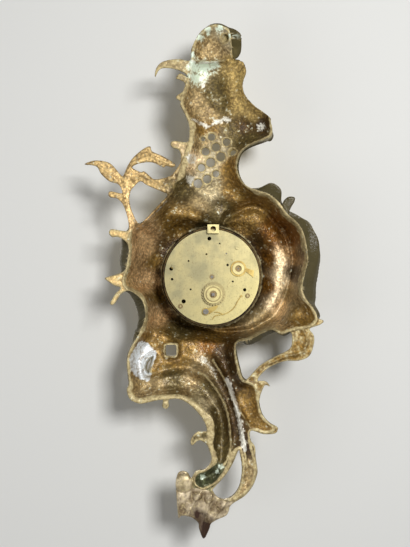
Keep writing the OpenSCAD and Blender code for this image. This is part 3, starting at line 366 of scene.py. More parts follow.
# Cells whose best corner lies this share of the pitch within the metal are kept
KEPT_SHARE = 0.35
# Faces that meet at more than this many degrees have a sharp edge
SHARP_DEGREES = 55
PICTURE = (410, 547)


def linear(code):
    """An sRGB hex colour as linear red, green, blue and alpha."""
    share = np.array([int(code[i:i + 2], 16) for i in (1, 3, 5)]) / 255
    curve = np.where(share <= 0.04045, share / 12.92, ((share + 0.055) / 1.055) ** 2.4)
    return (*curve.tolist(), 1.0)


def tone(label, code, use):
    """A colour that a user may change."""
    return FloatVectorProperty(
        name=label, description=use, subtype="COLOR", size=4, min=0, max=1, default=linear(code))


def length(label, value, use):
    """A length in millimetres that a user may change."""
    return FloatProperty(name=label, description=use, unit="LENGTH", min=0, default=value * MM)


def amount(label, value, use, unit="NONE"):
    """A share, a strength or a power that a user may change."""
    return FloatProperty(name=label, description=use, unit=unit, min=0, default=value)


class ClockCasting(bpy.types.PropertyGroup):
    pitch: length("Grid pitch", 0.5, "Spacing of the points that the casting is worked out on")
    wall: length("Wall", 2.2, "Thickness of the casting")
    edge: length("Edge round", 0.7, "Radius that the edges are worn to")
    bowl_depth: length("Bowl depth", 33, "Depth of the ring-shaped hollow round the movement")
    bowl_lip: length("Bowl lip", 7, "Rise of the swelling between the deepest line and the movement")
    seat_depth: length("Seat depth", 39.8, "Depth of the seat of the dial")
    seat: length("Seat", 47, "Radius of the seat of the dial")
    moulding: length("Moulding", 4.6, "How far the front moulding stands out from the seat")
    leaf: length("Leaf", 4, "Thickness of the leaves and spurs")
    opening: length("Opening", 36.5, "Radius of the hole for the movement")
    trough_run: length("Trough run", 8, "Distance over which a trough falls from its rim to its floor")
    groove: amount("Groove", 0.35, "Share of a ridge's height that shows as a groove in front")
    front_run: length("Front run", 9, "Distance over which the front rises from the rim")
    swell_run: length("Swell run", 14, "Distance over which the front swells beyond the rim and comes back")
    leaf_round: length("Leaf round", 2.2, "Distance over which a leaf's front is rounded")
    bead: length("Bead", 1, "Height of the bead along the edge of the front")
    bead_place: length("Bead place", 5, "Distance of the bead from the edge")
    bead_half: length("Bead half width", 1.3, "Half width of the bead")
    unevenness: length("Unevenness", 0.2, "Height of the waves left by the mould")
    seed: IntProperty(name="Seed", description="Which waves the mould leaves", default=7)


class ClockFinish(bpy.types.PropertyGroup):
    ochre: tone("Ochre", "#7C622C", "Thin lacquer over brass")
    olive: tone("Olive", "#584C28", "Lacquer gone greenish")
    # Rubbed lacquer, and in a few places on the bowl and tail a painted highlight
    tan: tone("Tan", "#93815A", "Rubbed lacquer")
    grey: tone("Grey", "#A0977C", "Tinned brass round the piercings")
    # Lacquer gathered in hollows, and painted shade next to the movement plate and on the bowl's steep
    # right wall
    dark: tone("Dark", "#3E2B06", "Lacquer gathered in hollows")
    brown: tone("Brown", "#724C10", "Thick brown lacquer")
    # Pinkish lacquer, lightened as painted light on the bowl's lit left wall
    red: tone("Red brown", "#C8A878", "Thick red-brown lacquer")
    gold: tone("Gold", "#988450", "Grainy gilded brass")
    # Lacquer rubbed through, and a painted highlight along the tail scroll's lip
    pale: tone("Pale", "#A89C7A", "Lacquer rubbed through")
    # Painted highlight: the gloss of the lacquer laid on as colour
    rubbed: tone("Rubbed", "#DCC8A2", "Lacquer polished by handling")
    green: tone("Dark green", "#50543A", "Lacquer with copper green")
    rim: tone("Rim", "#CFBF8E", "Filed cast brass")
    rim_dull: tone("Dull rim", "#6C5430", "Pits in the filed brass")
    gilt: tone("Gilt", "#C8AD76", "Gilded leaf")
    gilt_dull: tone("Dull gilt", "#5E4420", "Pits in the gilding")
    foot: tone("Foot", "#CDBCA0", "Weathered bronze of the foot")
    foot_dull: tone("Dull foot", "#6E5942", "Hollows of the foot")
    foot_tip: tone("Foot tip", "#321C0A", "Red-brown tip of the foot")
    front: tone("Front", "#A08C4C", "Old gilding of the front")
    front_dull: tone("Dull front", "#4C4322", "Hollows of the front")
    # Copper green, and the colour of painted glints at the volute
    verdigris: tone("Verdigris", "#E2EEDC", "Copper green on the brass")
    # Soft solder, and the colour of painted glints on ridges, rims and the crest
    solder: tone("Solder", "#DAD7CA", "Soft solder")
    silver: tone("Tin", "#D6DADB", "Tinned patch")
    plate: tone("Plate", "#AA9E70", "Rolled brass of the plates")
    # Painted light: the colour of the plates on their lit side
    plate_dull: tone("Dull plate", "#8C8562", "Tarnish of the plates")
    plate_painted_light: tone("Bright plate", "#BFB27A", "Rubbed brass of the plates")
    # Also the colour of the painted shadow rings round the raised boss and collar
    oil: tone("Oil", "#6A5230", "Old oil on the plates")
    wheel: tone("Wheels", "#D0B368", "Cut brass of the wheels")
    bezel: tone("Bezel", "#D4AC5C", "Turned and lacquered brass")
    steel: tone("Steel", "#8E8A82", "Polished steel")
    blue: tone("Blued steel", "#26344F", "Steel blued by heat")
    enamel: tone("Enamel", "#F1EDE2", "Fired enamel of the dial")
    ink: tone("Numerals", "#1D1B1A", "Black enamel paint")


class ClockStage(bpy.types.PropertyGroup):
    floor: tone("Floor", "#D9D9D6", "Plain paper under the clock")
    distance: length("Camera distance", 620, "Camera to the plane of the rim")
    field: length("Field height", 382.9, "Height of the picture at the plane of the rim")
    key: amount("Key lamp", 9.6, "Power of the key lamp", "POWER")
    fill: amount("Fill lamp", 14.0, "Power of the lamp in front", "POWER")
    backdrop: amount("Backdrop", 0.7, "Strength of the surroundings as they are seen")
    sky: amount("Sky", 0.19, "Strength of the light from all round")


def from_photo(points):
    """Pixels of the photograph as places on the plane of the rim: x runs to the left and z up."""
    steps = np.array(DIAL_PIXEL) - np.array([p[:2] for p in points], float)
    return np.array([DIAL_X, DIAL_Z]) + steps * PIXEL


def smooth_line(points, closed, steps=4):
    """Smooth curve: each stretch is a cubic, and its slope at a point is half its neighbours' step."""
    p = from_photo(points)
    before, after = np.roll(p, 1, 0), np.roll(p, -1, 0)
    beyond = np.roll(p, -2, 0)
    if not closed:
        before[0], after[-1], beyond[-1], beyond[-2] = p[0], p[-1], p[-1], p[-1]
    t = (np.arange(steps) / steps)[None, :, None]
    a, b, c, d = (q[:, None, :] for q in (before, p, after, beyond))
    slope = (c - a) * t
    bend = (2 * a - 5 * b + 4 * c - d) * t ** 2
    twist = (3 * b - a - 3 * c + d) * t ** 3
    curve = (b + (slope + bend + twist) / 2).reshape(-1, 2)
    return curve if closed else np.vstack([curve[:(len(p) - 1) * steps], p[-1:]])


def ease(low, high, value):
    """0 below low, 1 above high, and the cubic 3t2 - 2t3 between."""
    t = np.clip((value - low) / (high - low), 0, 1)
    return t * t * (3 - 2 * t)


class Field:
    """Grid of places on the plane of the rim, with the measures that the casting is worked out from."""

    def __init__(self, pitch):
        edge = from_photo(CASTING_EDGE)
        margin = 6 * pitch
        low, high = edge.min(0) - margin, edge.max(0) + margin
        self.pitch = pitch
        self.xs, self.zs = np.arange(low[0], high[0], pitch), np.arange(low[1], high[1], pitch)
        self.x, self.z = np.meshgrid(self.xs, self.zs)
        self.px = DIAL_PIXEL[0] - (self.x - DIAL_X) / PIXEL
        self.py = DIAL_PIXEL[1] - (self.z - DIAL_Z) / PIXEL
        self.radius = np.hypot(self.x - DIAL_X, self.z - DIAL_Z)
        self.away_x = (self.x - DIAL_X) / (self.radius + TINY)
        self.away_z = (self.z - DIAL_Z) / (self.radius + TINY)

    def near(self, line, reach, closed=True):
        """Distance to a line up to reach: the least, over its sides, to the foot of the perpendicular."""
        far = np.full(self.x.shape, reach)
        ends = np.roll(line, -1, 0) if closed else line[1:]
        for a, b in zip(line, ends):
            i = slice(*np.searchsorted(self.zs, (min(a[1], b[1]) - reach, max(a[1], b[1]) + reach)))
            j = slice(*np.searchsorted(self.xs, (min(a[0], b[0]) - reach, max(a[0], b[0]) + reach)))
            dx, dz, run = self.x[i, j] - a[0], self.z[i, j] - a[1], b - a
            t = np.clip((dx * run[0] + dz * run[1]) / max(run @ run, 1e-15), 0, 1)
            far[i, j] = np.minimum(far[i, j], np.hypot(dx - t * run[0], dz - t * run[1]))
        return far

    def inside(self, line, reach):
        """Distance to a closed line, positive within it: after an odd number of crossings."""
        odd = np.zeros(self.x.shape, bool)
        for a, b in zip(line, np.roll(line, -1, 0)):
            i = slice(*np.searchsorted(self.zs, sorted((a[1], b[1]))))
            if i.stop > i.start:
                cross = a[0] + (self.zs[i] - a[1]) * (b[0] - a[0]) / (b[1] - a[1])
                odd[i] ^= self.xs[None, :] < cross[:, None]
        return np.where(odd, 1, -1) * self.near(line, reach)

    def rim_radius(self, line):
        """Distance from the dial's centre to a line round it, in each grid place's direction."""
        x, z = line[:, 0] - DIAL_X, line[:, 1] - DIAL_Z
        turn = np.arctan2(z, x)
        order = np.argsort(turn)
        own = np.arctan2(self.z - DIAL_Z, self.x - DIAL_X)
        return np.interp(own, turn[order], np.hypot(x, z)[order], period=2 * np.pi)

    def spread(self, points, values=None, power=2.0, blur=3 * MM):
        """Mean of the values given at some places, each weighted by its distance to the minus 2 x power.

        Within the blur a place's weight levels off. Without values, each place's third number counts in mm.
        """
        if values is None:
            values = [p[2] * MM for p in points]
        values = np.array(values, float).reshape(len(points), -1)
        total = np.zeros((*self.x.shape, values.shape[1]))
        weight = np.zeros(self.x.shape)
        for place, value in zip(from_photo(points), values):
            w = ((self.x - place[0]) ** 2 + (self.z - place[1]) ** 2 + blur ** 2) ** -power
            total += w[..., None] * value
            weight += w
        return np.squeeze(total / weight[..., None])

    def soften(self, field, passes):
        """Repeated mean of each value with its neighbours, weighted 1 2 1 along both axes."""
        for _ in range(passes):
            for axis in (0, 1):
                field = (np.roll(field, 1, axis) + 2 * field + np.roll(field, -1, axis)) / 4
        return field

    def waves(self, width, seed):
        """Smooth unevenness from -1 to 1: random heights on a grid of that width, softened between."""
        rows, columns = (int(np.ceil(n * self.pitch / width)) + 2 for n in self.x.shape)
        heights = np.random.default_rng(seed).uniform(-1, 1, (rows, columns))
        v, u = (self.z - self.zs[0]) / width, (self.x - self.xs[0]) / width
        i, j = v.astype(int), u.astype(int)
        tv, tu = ease(0, 1, v - i), ease(0, 1, u - j)
        low = heights[i, j] * (1 - tu) + heights[i, j + 1] * tu
        high = heights[i + 1, j] * (1 - tu) + heights[i + 1, j + 1] * tu
        return low * (1 - tv) + high * tv

    def spots(self, places):
        """1 at each round spot and 0 well outside it, along a bell curve of its radius in pixels."""
        total = np.zeros(self.x.shape)
        for px, py, r in places:
            total = np.maximum(total, np.exp(-((self.px - px) ** 2 + (self.py - py) ** 2) / r ** 2))
        return total


def cut_outline(f, size):
    """Distances to the edges of the metal, positive in it, and of its hollow part without leaves and spurs.

    The two small openings of the tail count as edges of the hollow, with a flat lip round them.
    """
    solid = f.inside(smooth_line(CASTING_EDGE, True), EDGE_REACH)
    for gap in GAPS:
        solid = np.minimum(solid, -f.inside(smooth_line(gap, True), EDGE_REACH))
    for px, py, r in GRILLE:
        solid = np.minimum(solid, (np.hypot(f.px - px, f.py - py) - r) * PIXEL)
    f.solid = np.minimum(solid, f.radius - size.opening)
    f.core = f.soften(f.inside(smooth_line(CORE_EDGE, True), CORE_REACH), 2)
    f.within = f.core
    for gap in (SQUARE_GAP, CRESCENT_GAP):
        lip = np.maximum(-f.inside(smooth_line(gap, True), CORE_REACH), 0) + GAP_LIP
        f.within = np.minimum(f.within, lip)
    f.thin = ease(0.6 * MM, -0.6 * MM, f.within)
    f.setback = f.spread(SETBACK)


def sink_hollow(f, size):
    """Depth of the inside below the plane of the rim.

    From the rim it falls along 1 - (1 - t)^2 over the trough's run to its floor. Round the movement it is a
    ring: a quarter wave from the rim down to its deepest line, which lies near the rim on the -X side and
    at the opening on the other, then a half wave up and down to the opening. The deeper of the two counts,
    with a soft step between them.
    """
    f.rim_width = f.spread(RIM) * (1 + 0.3 * f.waves(7 * MM, size.seed + 2))
    f.floor = f.spread([place for places in FLOOR.values() for place in places])
    run = np.clip((f.within - f.rim_width) / size.trough_run, 0, 1)
    trough = f.floor * (1 - (1 - run) ** 2)

    rim_radius = f.rim_radius(smooth_line(HOLLOW_EDGE, True)) - f.rim_width
    way = np.clip((rim_radius - f.radius) / np.maximum(rim_radius - size.opening, 1 * MM), 0, 1)
    # 1 on the far -X side of the movement and 0 on the +X side; the ring is shallower there at the top
    turned = np.clip((0.2 - f.away_x) / 0.8, 0, 1)
    deepest = 1 - 0.8 * turned
    level = size.bowl_depth * (1 - 0.35 * turned * ease(0.4, 0.95, f.away_z))
    # The powers make the wall steeper at the rim and the swelling narrower towards the top
    fall = np.sin(np.pi / 2 * np.clip(way / deepest, 0, 1) ** 0.8)
    rise = np.sin(np.pi * np.clip((way - deepest) / np.maximum(1 - deepest, 0.05), 0, 1) ** 0.78)
    rise = rise ** (1.2 + 1.3 * ease(0, 0.9, f.away_z))
    ring = level * fall - size.bowl_lip * turned * rise
    step = 0.4 * np.minimum(trough, ring)
    deeper = (trough + ring + np.hypot(trough - ring, step)) / 2
    f.depth = f.soften(deeper, 9) + f.thin * f.setback


def raise_relief(f, size):
    """Ridges, knobs and the mould's waves on the inside, and the worn edge.

    A ridge falls to each side as exp(-t^power), a knob is half a ball pressed flat, and the worn edge is a
    quarter of a circle.
    """
    f.ridge, f.groove = np.zeros(f.x.shape), np.zeros(f.x.shape)
    for height, half, power, bright, places in RIDGES.values():
        away = f.near(smooth_line(places, False), 6 * half * MM, False)
        lift = np.exp(-(away / (half * MM)) ** power) * np.minimum(height * MM, RIDGE_SHARE * f.depth)
        f.depth = f.depth - lift
        f.groove = np.maximum(f.groove, size.groove * lift)
        # Each ridge's crest is painted bright as bare brass along its line: a painted highlight
        f.ridge = np.maximum(f.ridge, bright * np.exp(-(away / CREST_HALF) ** 2))
    for px, py, r, height, bright in KNOBS:
        away = np.hypot(f.px - px, f.py - py) / r
        f.depth = f.depth - height * MM * np.sqrt(np.maximum(1 - away ** 2, 0))
        f.ridge = np.maximum(f.ridge, bright * ease(1.1, 0.8, away))
    waves = f.waves(5 * MM, size.seed) + 0.5 * f.waves(2.2 * MM, size.seed + 1)
    f.depth = f.depth + size.unevenness * waves * (0.35 + 0.65 * ease(0.3 * MM, 4 * MM, f.within))
    f.worn = size.edge * (1 - np.sqrt(1 - (1 - np.clip(f.solid / size.edge, 0, 1)) ** 2))
    f.rear = np.minimum(-f.depth - f.worn, 0)


def shape_front(f, size):
    """The front: how deep it lies, how far it is pushed sideways, and which parts of it are raised.

    Round the dial its section is a row of knots from the rim to the dial's seat. Elsewhere it is a quarter
    wave that swells beyond the rim along a half wave, with a groove behind each ridge and a bead along the
    edge. A leaf is a dome of its own thickness.
    """
    swell = f.spread(SWELL)
    out = np.sqrt(np.clip(f.within / size.front_run, 0, 1))
    dome = np.sqrt(1 - (1 - np.clip(f.solid / size.leaf_round, 0, 1)) ** 2)
    plain = (f.floor + size.wall) * np.sin(np.pi / 2 * out)
    plain = np.maximum(plain, f.setback + LEAST_LEAF + size.leaf * dome)
    bead = size.bead * (1 - f.thin) * np.exp(-((f.within - size.bead_place) / size.bead_half) ** 2)

    front_radius = f.rim_radius(smooth_line(FRONT_EDGE, True))
    wide = np.maximum(front_radius - size.seat, 0.5 * MM)
    part = np.clip((front_radius - f.radius) / wide, 0, 1)
    in_body = part > 0
    way, height, swelled, inward = zip(*FRONT_SECTION)
    crown = size.seat_depth + np.minimum(size.moulding, 0.4 * wide)
    level = np.interp(part, way, height)
    level = np.where(part > CROWN_AT, size.seat_depth + (crown - size.seat_depth) * level, crown * level)
    front = np.where(in_body, np.maximum(plain, level), plain - f.groove + bead)
    f.front = -np.maximum(f.soften(front, 2), f.depth + LEAST_WALL) + f.worn

    slope_z, slope_x = np.gradient(f.soften(f.within, 6), f.pitch)
    steep = np.maximum(np.hypot(slope_x, slope_z), 0.3)
    half_wave = swell * np.sin(np.pi * np.sqrt(np.clip(f.within / size.swell_run, 0, 1)))
    section = swell * np.interp(part, way, swelled) + wide * (part - np.interp(part, way, inward))
    push = np.where(in_body, section, half_wave)
    f.front_x = push * np.where(in_body, f.away_x, -slope_x / steep)
    f.front_z = push * np.where(in_body, f.away_z, -slope_z / steep)
    crowns = np.maximum(ease(0.4, 0.95, out), 0.85 * f.thin * dome)
    f.raised = np.where(in_body, ease(0.25, 0.6, part), crowns)


def spread_finish(f, size, finish):
    """Where each finish lies: lacquer with painted shade and painted highlights in places, bare rims,
    crests painted bright as highlights, tin, copper green and solder with painted glints among them, and
    the dark tip.

    The lacquer is painted darker in the gap round the movement, as painted shade. Each line of solder, and
    each line of painted glint, fades along a bell curve.
    """
    places = [place for group in FLOOR.values() for place in group]
    shades = [getattr(finish, name)[:3] for name, group in FLOOR.items() for _ in group]
    # Painted shade: the lacquer is darkened in the gap round the movement, where the movement shades it
    gap_shade = 0.35 + 0.65 * ease(0, GAP_SHADE_WIDTH, f.radius - size.opening)
    f.patina = f.spread(places, shades, 2.5) * gap_shade[..., None]
    rim = ease(f.rim_width + 0.8 * MM, f.rim_width - 0.4 * MM, f.within) * (1 - 0.75 * f.thin)
    edge = 0.75 * ease(1.8 * MM, 0.4 * MM, f.solid) * ease(-0.4 * MM, 0.6 * MM, f.rim_width)
    f.rim = np.maximum.reduce([rim, edge, f.ridge])
    f.silver = ease(-1 * MM, 1.2 * MM, f.inside(smooth_line(SILVER_PATCH, True), 4 * MM))
    f.verdigris = f.spots(VERDIGRIS_AND_GLINTS)
    f.solder = f.spots(SOLDER_AND_GLINT_SPOTS)
    # Solder along the seam, and painted glints on ridges, rims and the crest's ledge
    for half, strength, line in SOLDER_AND_GLINT_LINES:
        away = f.near(smooth_line(line, False), 4 * half * MM, False) / (half * MM)
        f.solder = np.maximum(f.solder, strength * np.exp(-away ** 2))
    slant = TIP_MIDDLE[0] + (f.py - TIP_MIDDLE[1]) / 4
    f.tip = ease(*TIP_REACH, f.py - 0.8 * np.abs(f.px - slant))
    f.gilded = f.thin * ease(*GILT_SETBACK, f.setback)


def casting_fields(size, finish):
    """The casting as heights and finishes over the grid."""
    f = Field(size.pitch)
    cut_outline(f, size)
    sink_hollow(f, size)
    raise_relief(f, size)
    shape_front(f, size)
    spread_finish(f, size, finish)
    return f


def within_boxes(px, py, boxes):
    """True in any of some boxes, each given by its left, top, right and bottom."""
    return np.logical_or.reduce([(px > a) & (py > b) & (px < c) & (py < d) for a, b, c, d in boxes])


def casting_parts(f):
    """Which part of the casting each grid cell belongs to, from the seams, in the order of PART_SLOTS."""
    px, py, core = (a[:-1, :-1] for a in (f.px, f.py, f.core))
    tests = [
        (core < 0) & within_boxes(px, py, SPRAY_BOXES),
        within_boxes(px, py, BRANCH_BOXES),
        ((px < FOOT_RIGHT) & (py > np.interp(px, *FOOT_SEAM))) | within_boxes(px, py, LUMP_BOXES),
        py < np.interp(px, *CREST_SEAM),
        (py < np.interp(px, *NECK_SEAM)) & (px < NECK_RIGHT),
        (py < np.interp(px, *TAIL_SEAM)) | within_boxes(px, py, BODY_BOXES),
        px < np.interp(py, *STEM_SEAM)]
    return np.select(tests, range(len(tests)), len(tests))


def mesh_object(name, points, faces, attributes):
    """A smooth mesh from arrays of points and faces, with float or colour values at its points."""
    mesh = bpy.data.meshes.new(name)
    mesh.vertices.add(len(points))
    mesh.vertices.foreach_set("co", np.ascontiguousarray(points, np.float32).ravel())
    mesh.loops.add(faces.size)
    mesh.loops.foreach_set("vertex_index", faces.astype(np.int32).ravel())
    mesh.polygons.add(len(faces))
    mesh.polygons.foreach_set("loop_start", np.arange(0, faces.size, faces.shape[1], dtype=np.int32))
    mesh.update(calc_edges=True)
    for label, values in attributes.items():
        kind, field = ("FLOAT", "value") if values.ndim == 1 else ("FLOAT_COLOR", "color")
        mesh.attributes.new(label, kind, "POINT").data.foreach_set(field, values.astype(np.float32).ravel())
    mesh.shade_smooth()
    mesh.set_sharp_from_angle(angle=np.radians(SHARP_DEGREES))
    mesh.validate()
    piece = bpy.data.objects.new(name, mesh)
    bpy.context.scene.collection.objects.link(piece)
    return piece


def shell(name, f, cells):
    """One closed shell over some cells of the grid: rear heights, front heights and a strip between.

    Corners of the cells that lie outside the edge are moved onto it along the slope of the distance.
    """
    i, j = np.nonzero(cells)
    columns = f.x.shape[1]
    corner = i * columns + j
    quads = np.stack([corner, corner + 1, corner + columns + 1, corner + columns], 1)
    used, local = np.unique(quads, return_inverse=True)
    quads = local.reshape(-1, 4)
    x, z, solid = (a.ravel()[used].copy() for a in (f.x, f.z, f.solid))
    slope_z, slope_x = (a.ravel()[used] for a in np.gradient(f.solid, f.pitch))
    steep = np.maximum(slope_x ** 2 + slope_z ** 2, 0.3)
    snap = np.where(solid < KEPT_SHARE * f.pitch, np.clip(solid, -1.6 * f.pitch, f.pitch), 0)
    x -= snap * slope_x / steep
    z -= snap * slope_z / steep
    rear = np.stack([x, f.rear.ravel()[used], z], 1)
    front = np.stack([x + f.front_x.ravel()[used], f.front.ravel()[used], z + f.front_z.ravel()[used]], 1)

    sides = np.concatenate([quads[:, [k, (k + 1) % 4]] for k in range(4)])
    key = np.minimum(sides[:, 0], sides[:, 1]) * np.int64(len(used)) + np.maximum(sides[:, 0], sides[:, 1])
    _, first, count = np.unique(key, return_index=True, return_counts=True)
    rim = sides[first[count == 1]]
    n = len(used)
    # Seen from behind the grid's x runs to the left, so the rear faces are turned round
    strip = np.concatenate([rim, rim[:, ::-1] + n], 1)
    faces = np.concatenate([quads[:, ::-1], quads + n, strip])
    alike = ("rim", "silver", "verdigris", "solder", "tip")
    both = {label: np.tile(getattr(f, label).ravel()[used], 2) for label in alike}
    colour = np.concatenate([f.patina.reshape(-1, 3)[used], np.ones((n, 1))], 1)
    both["patina"] = np.tile(colour, (2, 1))
    both["front"] = np.append(f.gilded.ravel()[used], np.ones(n))
    both["raised"] = np.append(np.zeros(n), f.raised.ravel()[used])
    return mesh_object(name, np.concatenate([rear, front]), faces, both)


def add(tree, kind, links=None, socket=None, **settings):
    """Adds a shader node with its settings and links, and gives its named output or the first in use."""
    made = tree.nodes.new("ShaderNode" + kind)
    for key, value in settings.items():
        setattr(made, key, value)
    for key, value in (links or {}).items():
        if isinstance(value, bpy.types.NodeSocket):
            tree.links.new(value, made.inputs[key])
        else:
            made.inputs[key].default_value = value
    return made.outputs[socket] if socket else next((o for o in made.outputs if o.enabled), made)


def new_material(name):
    """An empty material, with its tree and its object coordinates."""
    material = bpy.data.materials.new(name)
    material.use_nodes = True
    material.node_tree.nodes.clear()
    return material, material.node_tree, add(material.node_tree, "TexCoord", socket="Object")


def grains(tree, place, detail, layers):
    """Patterns by name: each layer has the size of its grains in mm, and the levels that become 0 and 1."""
    made = {}
    for label, (size, low, high) in layers.items():
        raw = add(tree, "TexNoise", {"Vector": place, "Scale": 1 / (size * MM), "Detail": detail})
        made[label] = add(tree, "MapRange", {"Value": raw, "From Min": low, "From Max": high})
    return made


def scratches(tree, place, strength, depth_mm):
    """Bump of long scratches in one direction, 0.9 mm apart: coarser than real ones, so that they show."""
    turned = add(tree, "Mapping", {"Vector": place, "Rotation": (0, 0.5, 0), "Scale": (1, 1, 0.05)})
    scratch = add(tree, "TexNoise", {"Vector": turned, "Scale": 1 / (0.9 * MM), "Detail": 1.0})
    return add(tree, "Bump", {"Height": scratch, "Strength": strength, "Distance": depth_mm * MM})


def gild(tree, colour, cloud, mask, finish):
    """Old gilding over the colour in front: olive in its hollows, clouded gold on what is raised."""
    part = add(tree, "MapRange", {"Value": cloud, "To Min": 0.55})
    part = add(tree, "Math", {0: part, 1: mask["raised"]}, operation="MULTIPLY")
    gilding = add(tree, "Mix", {0: part, 6: finish.front_dull, 7: finish.front}, data_type="RGBA")
    return add(tree, "Mix", {0: mask["front"], 6: colour, 7: gilding}, data_type="RGBA")


def cast_brass(name, rim, rim_dull, finish, shine, coat, grit, pits):
    """Sand-cast brass: lacquer gone brown and blotchy inside, pale and pitted where filed, gilt outside.

    The eye sees glossy mottling in the hollows, dry grain on the rims and olive gold in front. The sand's
    grains are about 0.5 mm. Specks, pits and bumps are drawn two to four times as coarse, so they show.
    """
    material, tree, place = new_material(name)
    noise = grains(tree, place, 2.0, {
        "blotch": (9, 0.35, 0.65), "cloud": (3.2, 0.35, 0.7), "speck": (1.8, 0.47, 0.6),
        "pit": (2.1, 0.47, 0.6), "fine": (1.2, 0, 1), "lumps": (2.4, 0, 1)})
    mask = {label: add(tree, "Attribute", socket="Fac", attribute_name=label) for label in (
        "rim", "front", "raised", "silver", "verdigris", "solder")}
    patina = add(tree, "Attribute", socket="Color", attribute_name="patina")

    # Lacquer: dark blotches, paler clouds, fine pinkish grains and dark pits, as shares of its colour
    tint = {}
    kinds = {"dark": (0.5, 0.44, 0.38), "light": (1.6, 1.5, 1.4), "grain": (2.4, 2.3, 2.2)}
    for label, shares in kinds.items():
        tint[label] = add(tree, "Mix", {0: 1.0, 6: patina, 7: (*shares, 1)},
                          data_type="RGBA", blend_type="MULTIPLY")
    colour = add(tree, "Mix", {0: noise["blotch"], 6: tint["dark"], 7: patina}, data_type="RGBA")
    for label, share, shade in (("cloud", 0.6, "light"), ("speck", grit, "grain"), ("pit", pits, "dark")):
        part = add(tree, "Math", {0: noise[label], 1: share}, operation="MULTIPLY")
        colour = add(tree, "Mix", {0: part, 6: colour, 7: tint[shade]}, data_type="RGBA")

    # Filed brass on the rims, and on the ridges' crests as a painted highlight, with the same pits
    part = add(tree, "MapRange", {"Value": noise["cloud"], "To Min": 0.6})
    filed = add(tree, "Mix", {0: part, 6: rim_dull, 7: rim}, data_type="RGBA")
    part = add(tree, "Math", {0: noise["pit"], 1: pits}, operation="MULTIPLY")
    filed = add(tree, "Mix", {0: part, 6: filed, 7: rim_dull}, data_type="RGBA")
    ragged = add(tree, "Math", {0: noise["cloud"], 1: 0.5, 2: mask["rim"]}, operation="MULTIPLY_ADD")
    bare = add(tree, "MapRange", {"Value": ragged, "From Min": 0.35, "From Max": 0.8})
    colour = add(tree, "Mix", {0: bare, 6: colour, 7: filed}, data_type="RGBA")

    # Patches with ragged edges, of tin, copper green and solder, and painted glints in their colours, then
    # the gilding
    for label, low, high in (("verdigris", 0.65, 1.15), ("solder", 0.75, 1.3), ("silver", 0.8, 1.4)):
        ragged = add(tree, "Math", {0: noise["cloud"], 1: 0.5, 2: mask[label]}, operation="MULTIPLY_ADD")
        ragged = add(tree, "Math", {0: noise["speck"], 1: 0.35, 2: ragged}, operation="MULTIPLY_ADD")
        cover = add(tree, "MapRange", {"Value": ragged, "From Min": low, "From Max": high})
        colour = add(tree, "Mix", {0: cover, 6: colour, 7: getattr(finish, label)}, data_type="RGBA")
    colour = gild(tree, colour, noise["cloud"], mask, finish)

    metal = add(tree, "Math", {0: bare, 1: mask["front"]}, operation="MAXIMUM")
    metal = add(tree, "MapRange", {"Value": metal, "To Min": 0.6, "To Max": 0.5})
    rough = add(tree, "MapRange", {"Value": noise["blotch"], "To Min": shine, "To Max": shine + 0.15})
    for part, share in ((bare, 0.14), (mask["front"], 0.14), (mask["raised"], -0.24)):
        rough = add(tree, "Math", {0: part, 1: share, 2: rough}, operation="MULTIPLY_ADD")
    height = add(tree, "Math", {0: noise["lumps"], 1: 0.5, 2: noise["fine"]}, operation="MULTIPLY_ADD")
    bump = add(tree, "Bump", {"Height": height, "Strength": 0.7, "Distance": 0.45 * MM})
    surface = add(tree, "BsdfPrincipled", {
        "Base Color": colour, "Metallic": metal, "Roughness": rough, "Normal": bump, "Coat Weight": coat,
        "Coat Roughness": 0.16, "Coat Normal": bump})
    add(tree, "OutputMaterial", {"Surface": surface})
    return material


def weathered_bronze(name, finish):
    """Bronze left rough by the mould: brown mottling, pale high spots and the ridges' painted highlights, a
    red-brown tip, hardly any gloss.

    Its specks and pits are drawn at about 2 mm, coarser than real ones, so that they show.
    """
    material, tree, place = new_material(name)
    noise = grains(tree, place, 2.5, {
        "cloud": (7, 0.4, 0.6), "speck": (1.7, 0.5, 0.68), "pit": (2.2, 0.52, 0.66), "lumps": (3.2, 0, 1)})
    mask = {label: add(tree, "Attribute", socket="Fac", attribute_name=label) for label in (
        "tip", "rim", "front", "raised")}
    colour = add(tree, "Mix", {0: noise["cloud"], 6: finish.foot_dull, 7: finish.foot}, data_type="RGBA")
    part = add(tree, "Math", {0: mask["rim"], 1: 0.45}, operation="MULTIPLY")
    part = add(tree, "Math", {0: noise["speck"], 1: 0.45, 2: part}, operation="MULTIPLY_ADD")
    colour = add(tree, "Mix", {0: part, 6: colour, 7: finish.rim}, data_type="RGBA")
    part = add(tree, "Math", {0: noise["pit"], 1: 0.45}, operation="MULTIPLY")
    colour = add(tree, "Mix", {0: part, 6: colour, 7: finish.foot_tip}, data_type="RGBA")
    ragged = add(tree, "Math", {0: noise["cloud"], 1: 0.5, 2: mask["tip"]}, operation="MULTIPLY_ADD")
    cover = add(tree, "MapRange", {"Value": ragged, "From Min": 0.6, "From Max": 1.1})
    colour = add(tree, "Mix", {0: cover, 6: colour, 7: finish.foot_tip}, data_type="RGBA")
    colour = gild(tree, colour, noise["cloud"], mask, finish)
    bump = add(tree, "Bump", {"Height": noise["lumps"], "Strength": 0.5, "Distance": 0.6 * MM})
    rough = add(tree, "MapRange", {"Value": noise["cloud"], "To Min": 0.36, "To Max": 0.55})
    surface = add(tree, "BsdfPrincipled", {
        "Base Color": colour, "Metallic": 0.45, "Roughness": rough, "Normal": bump})
    add(tree, "OutputMaterial", {"Surface": surface})
    return material


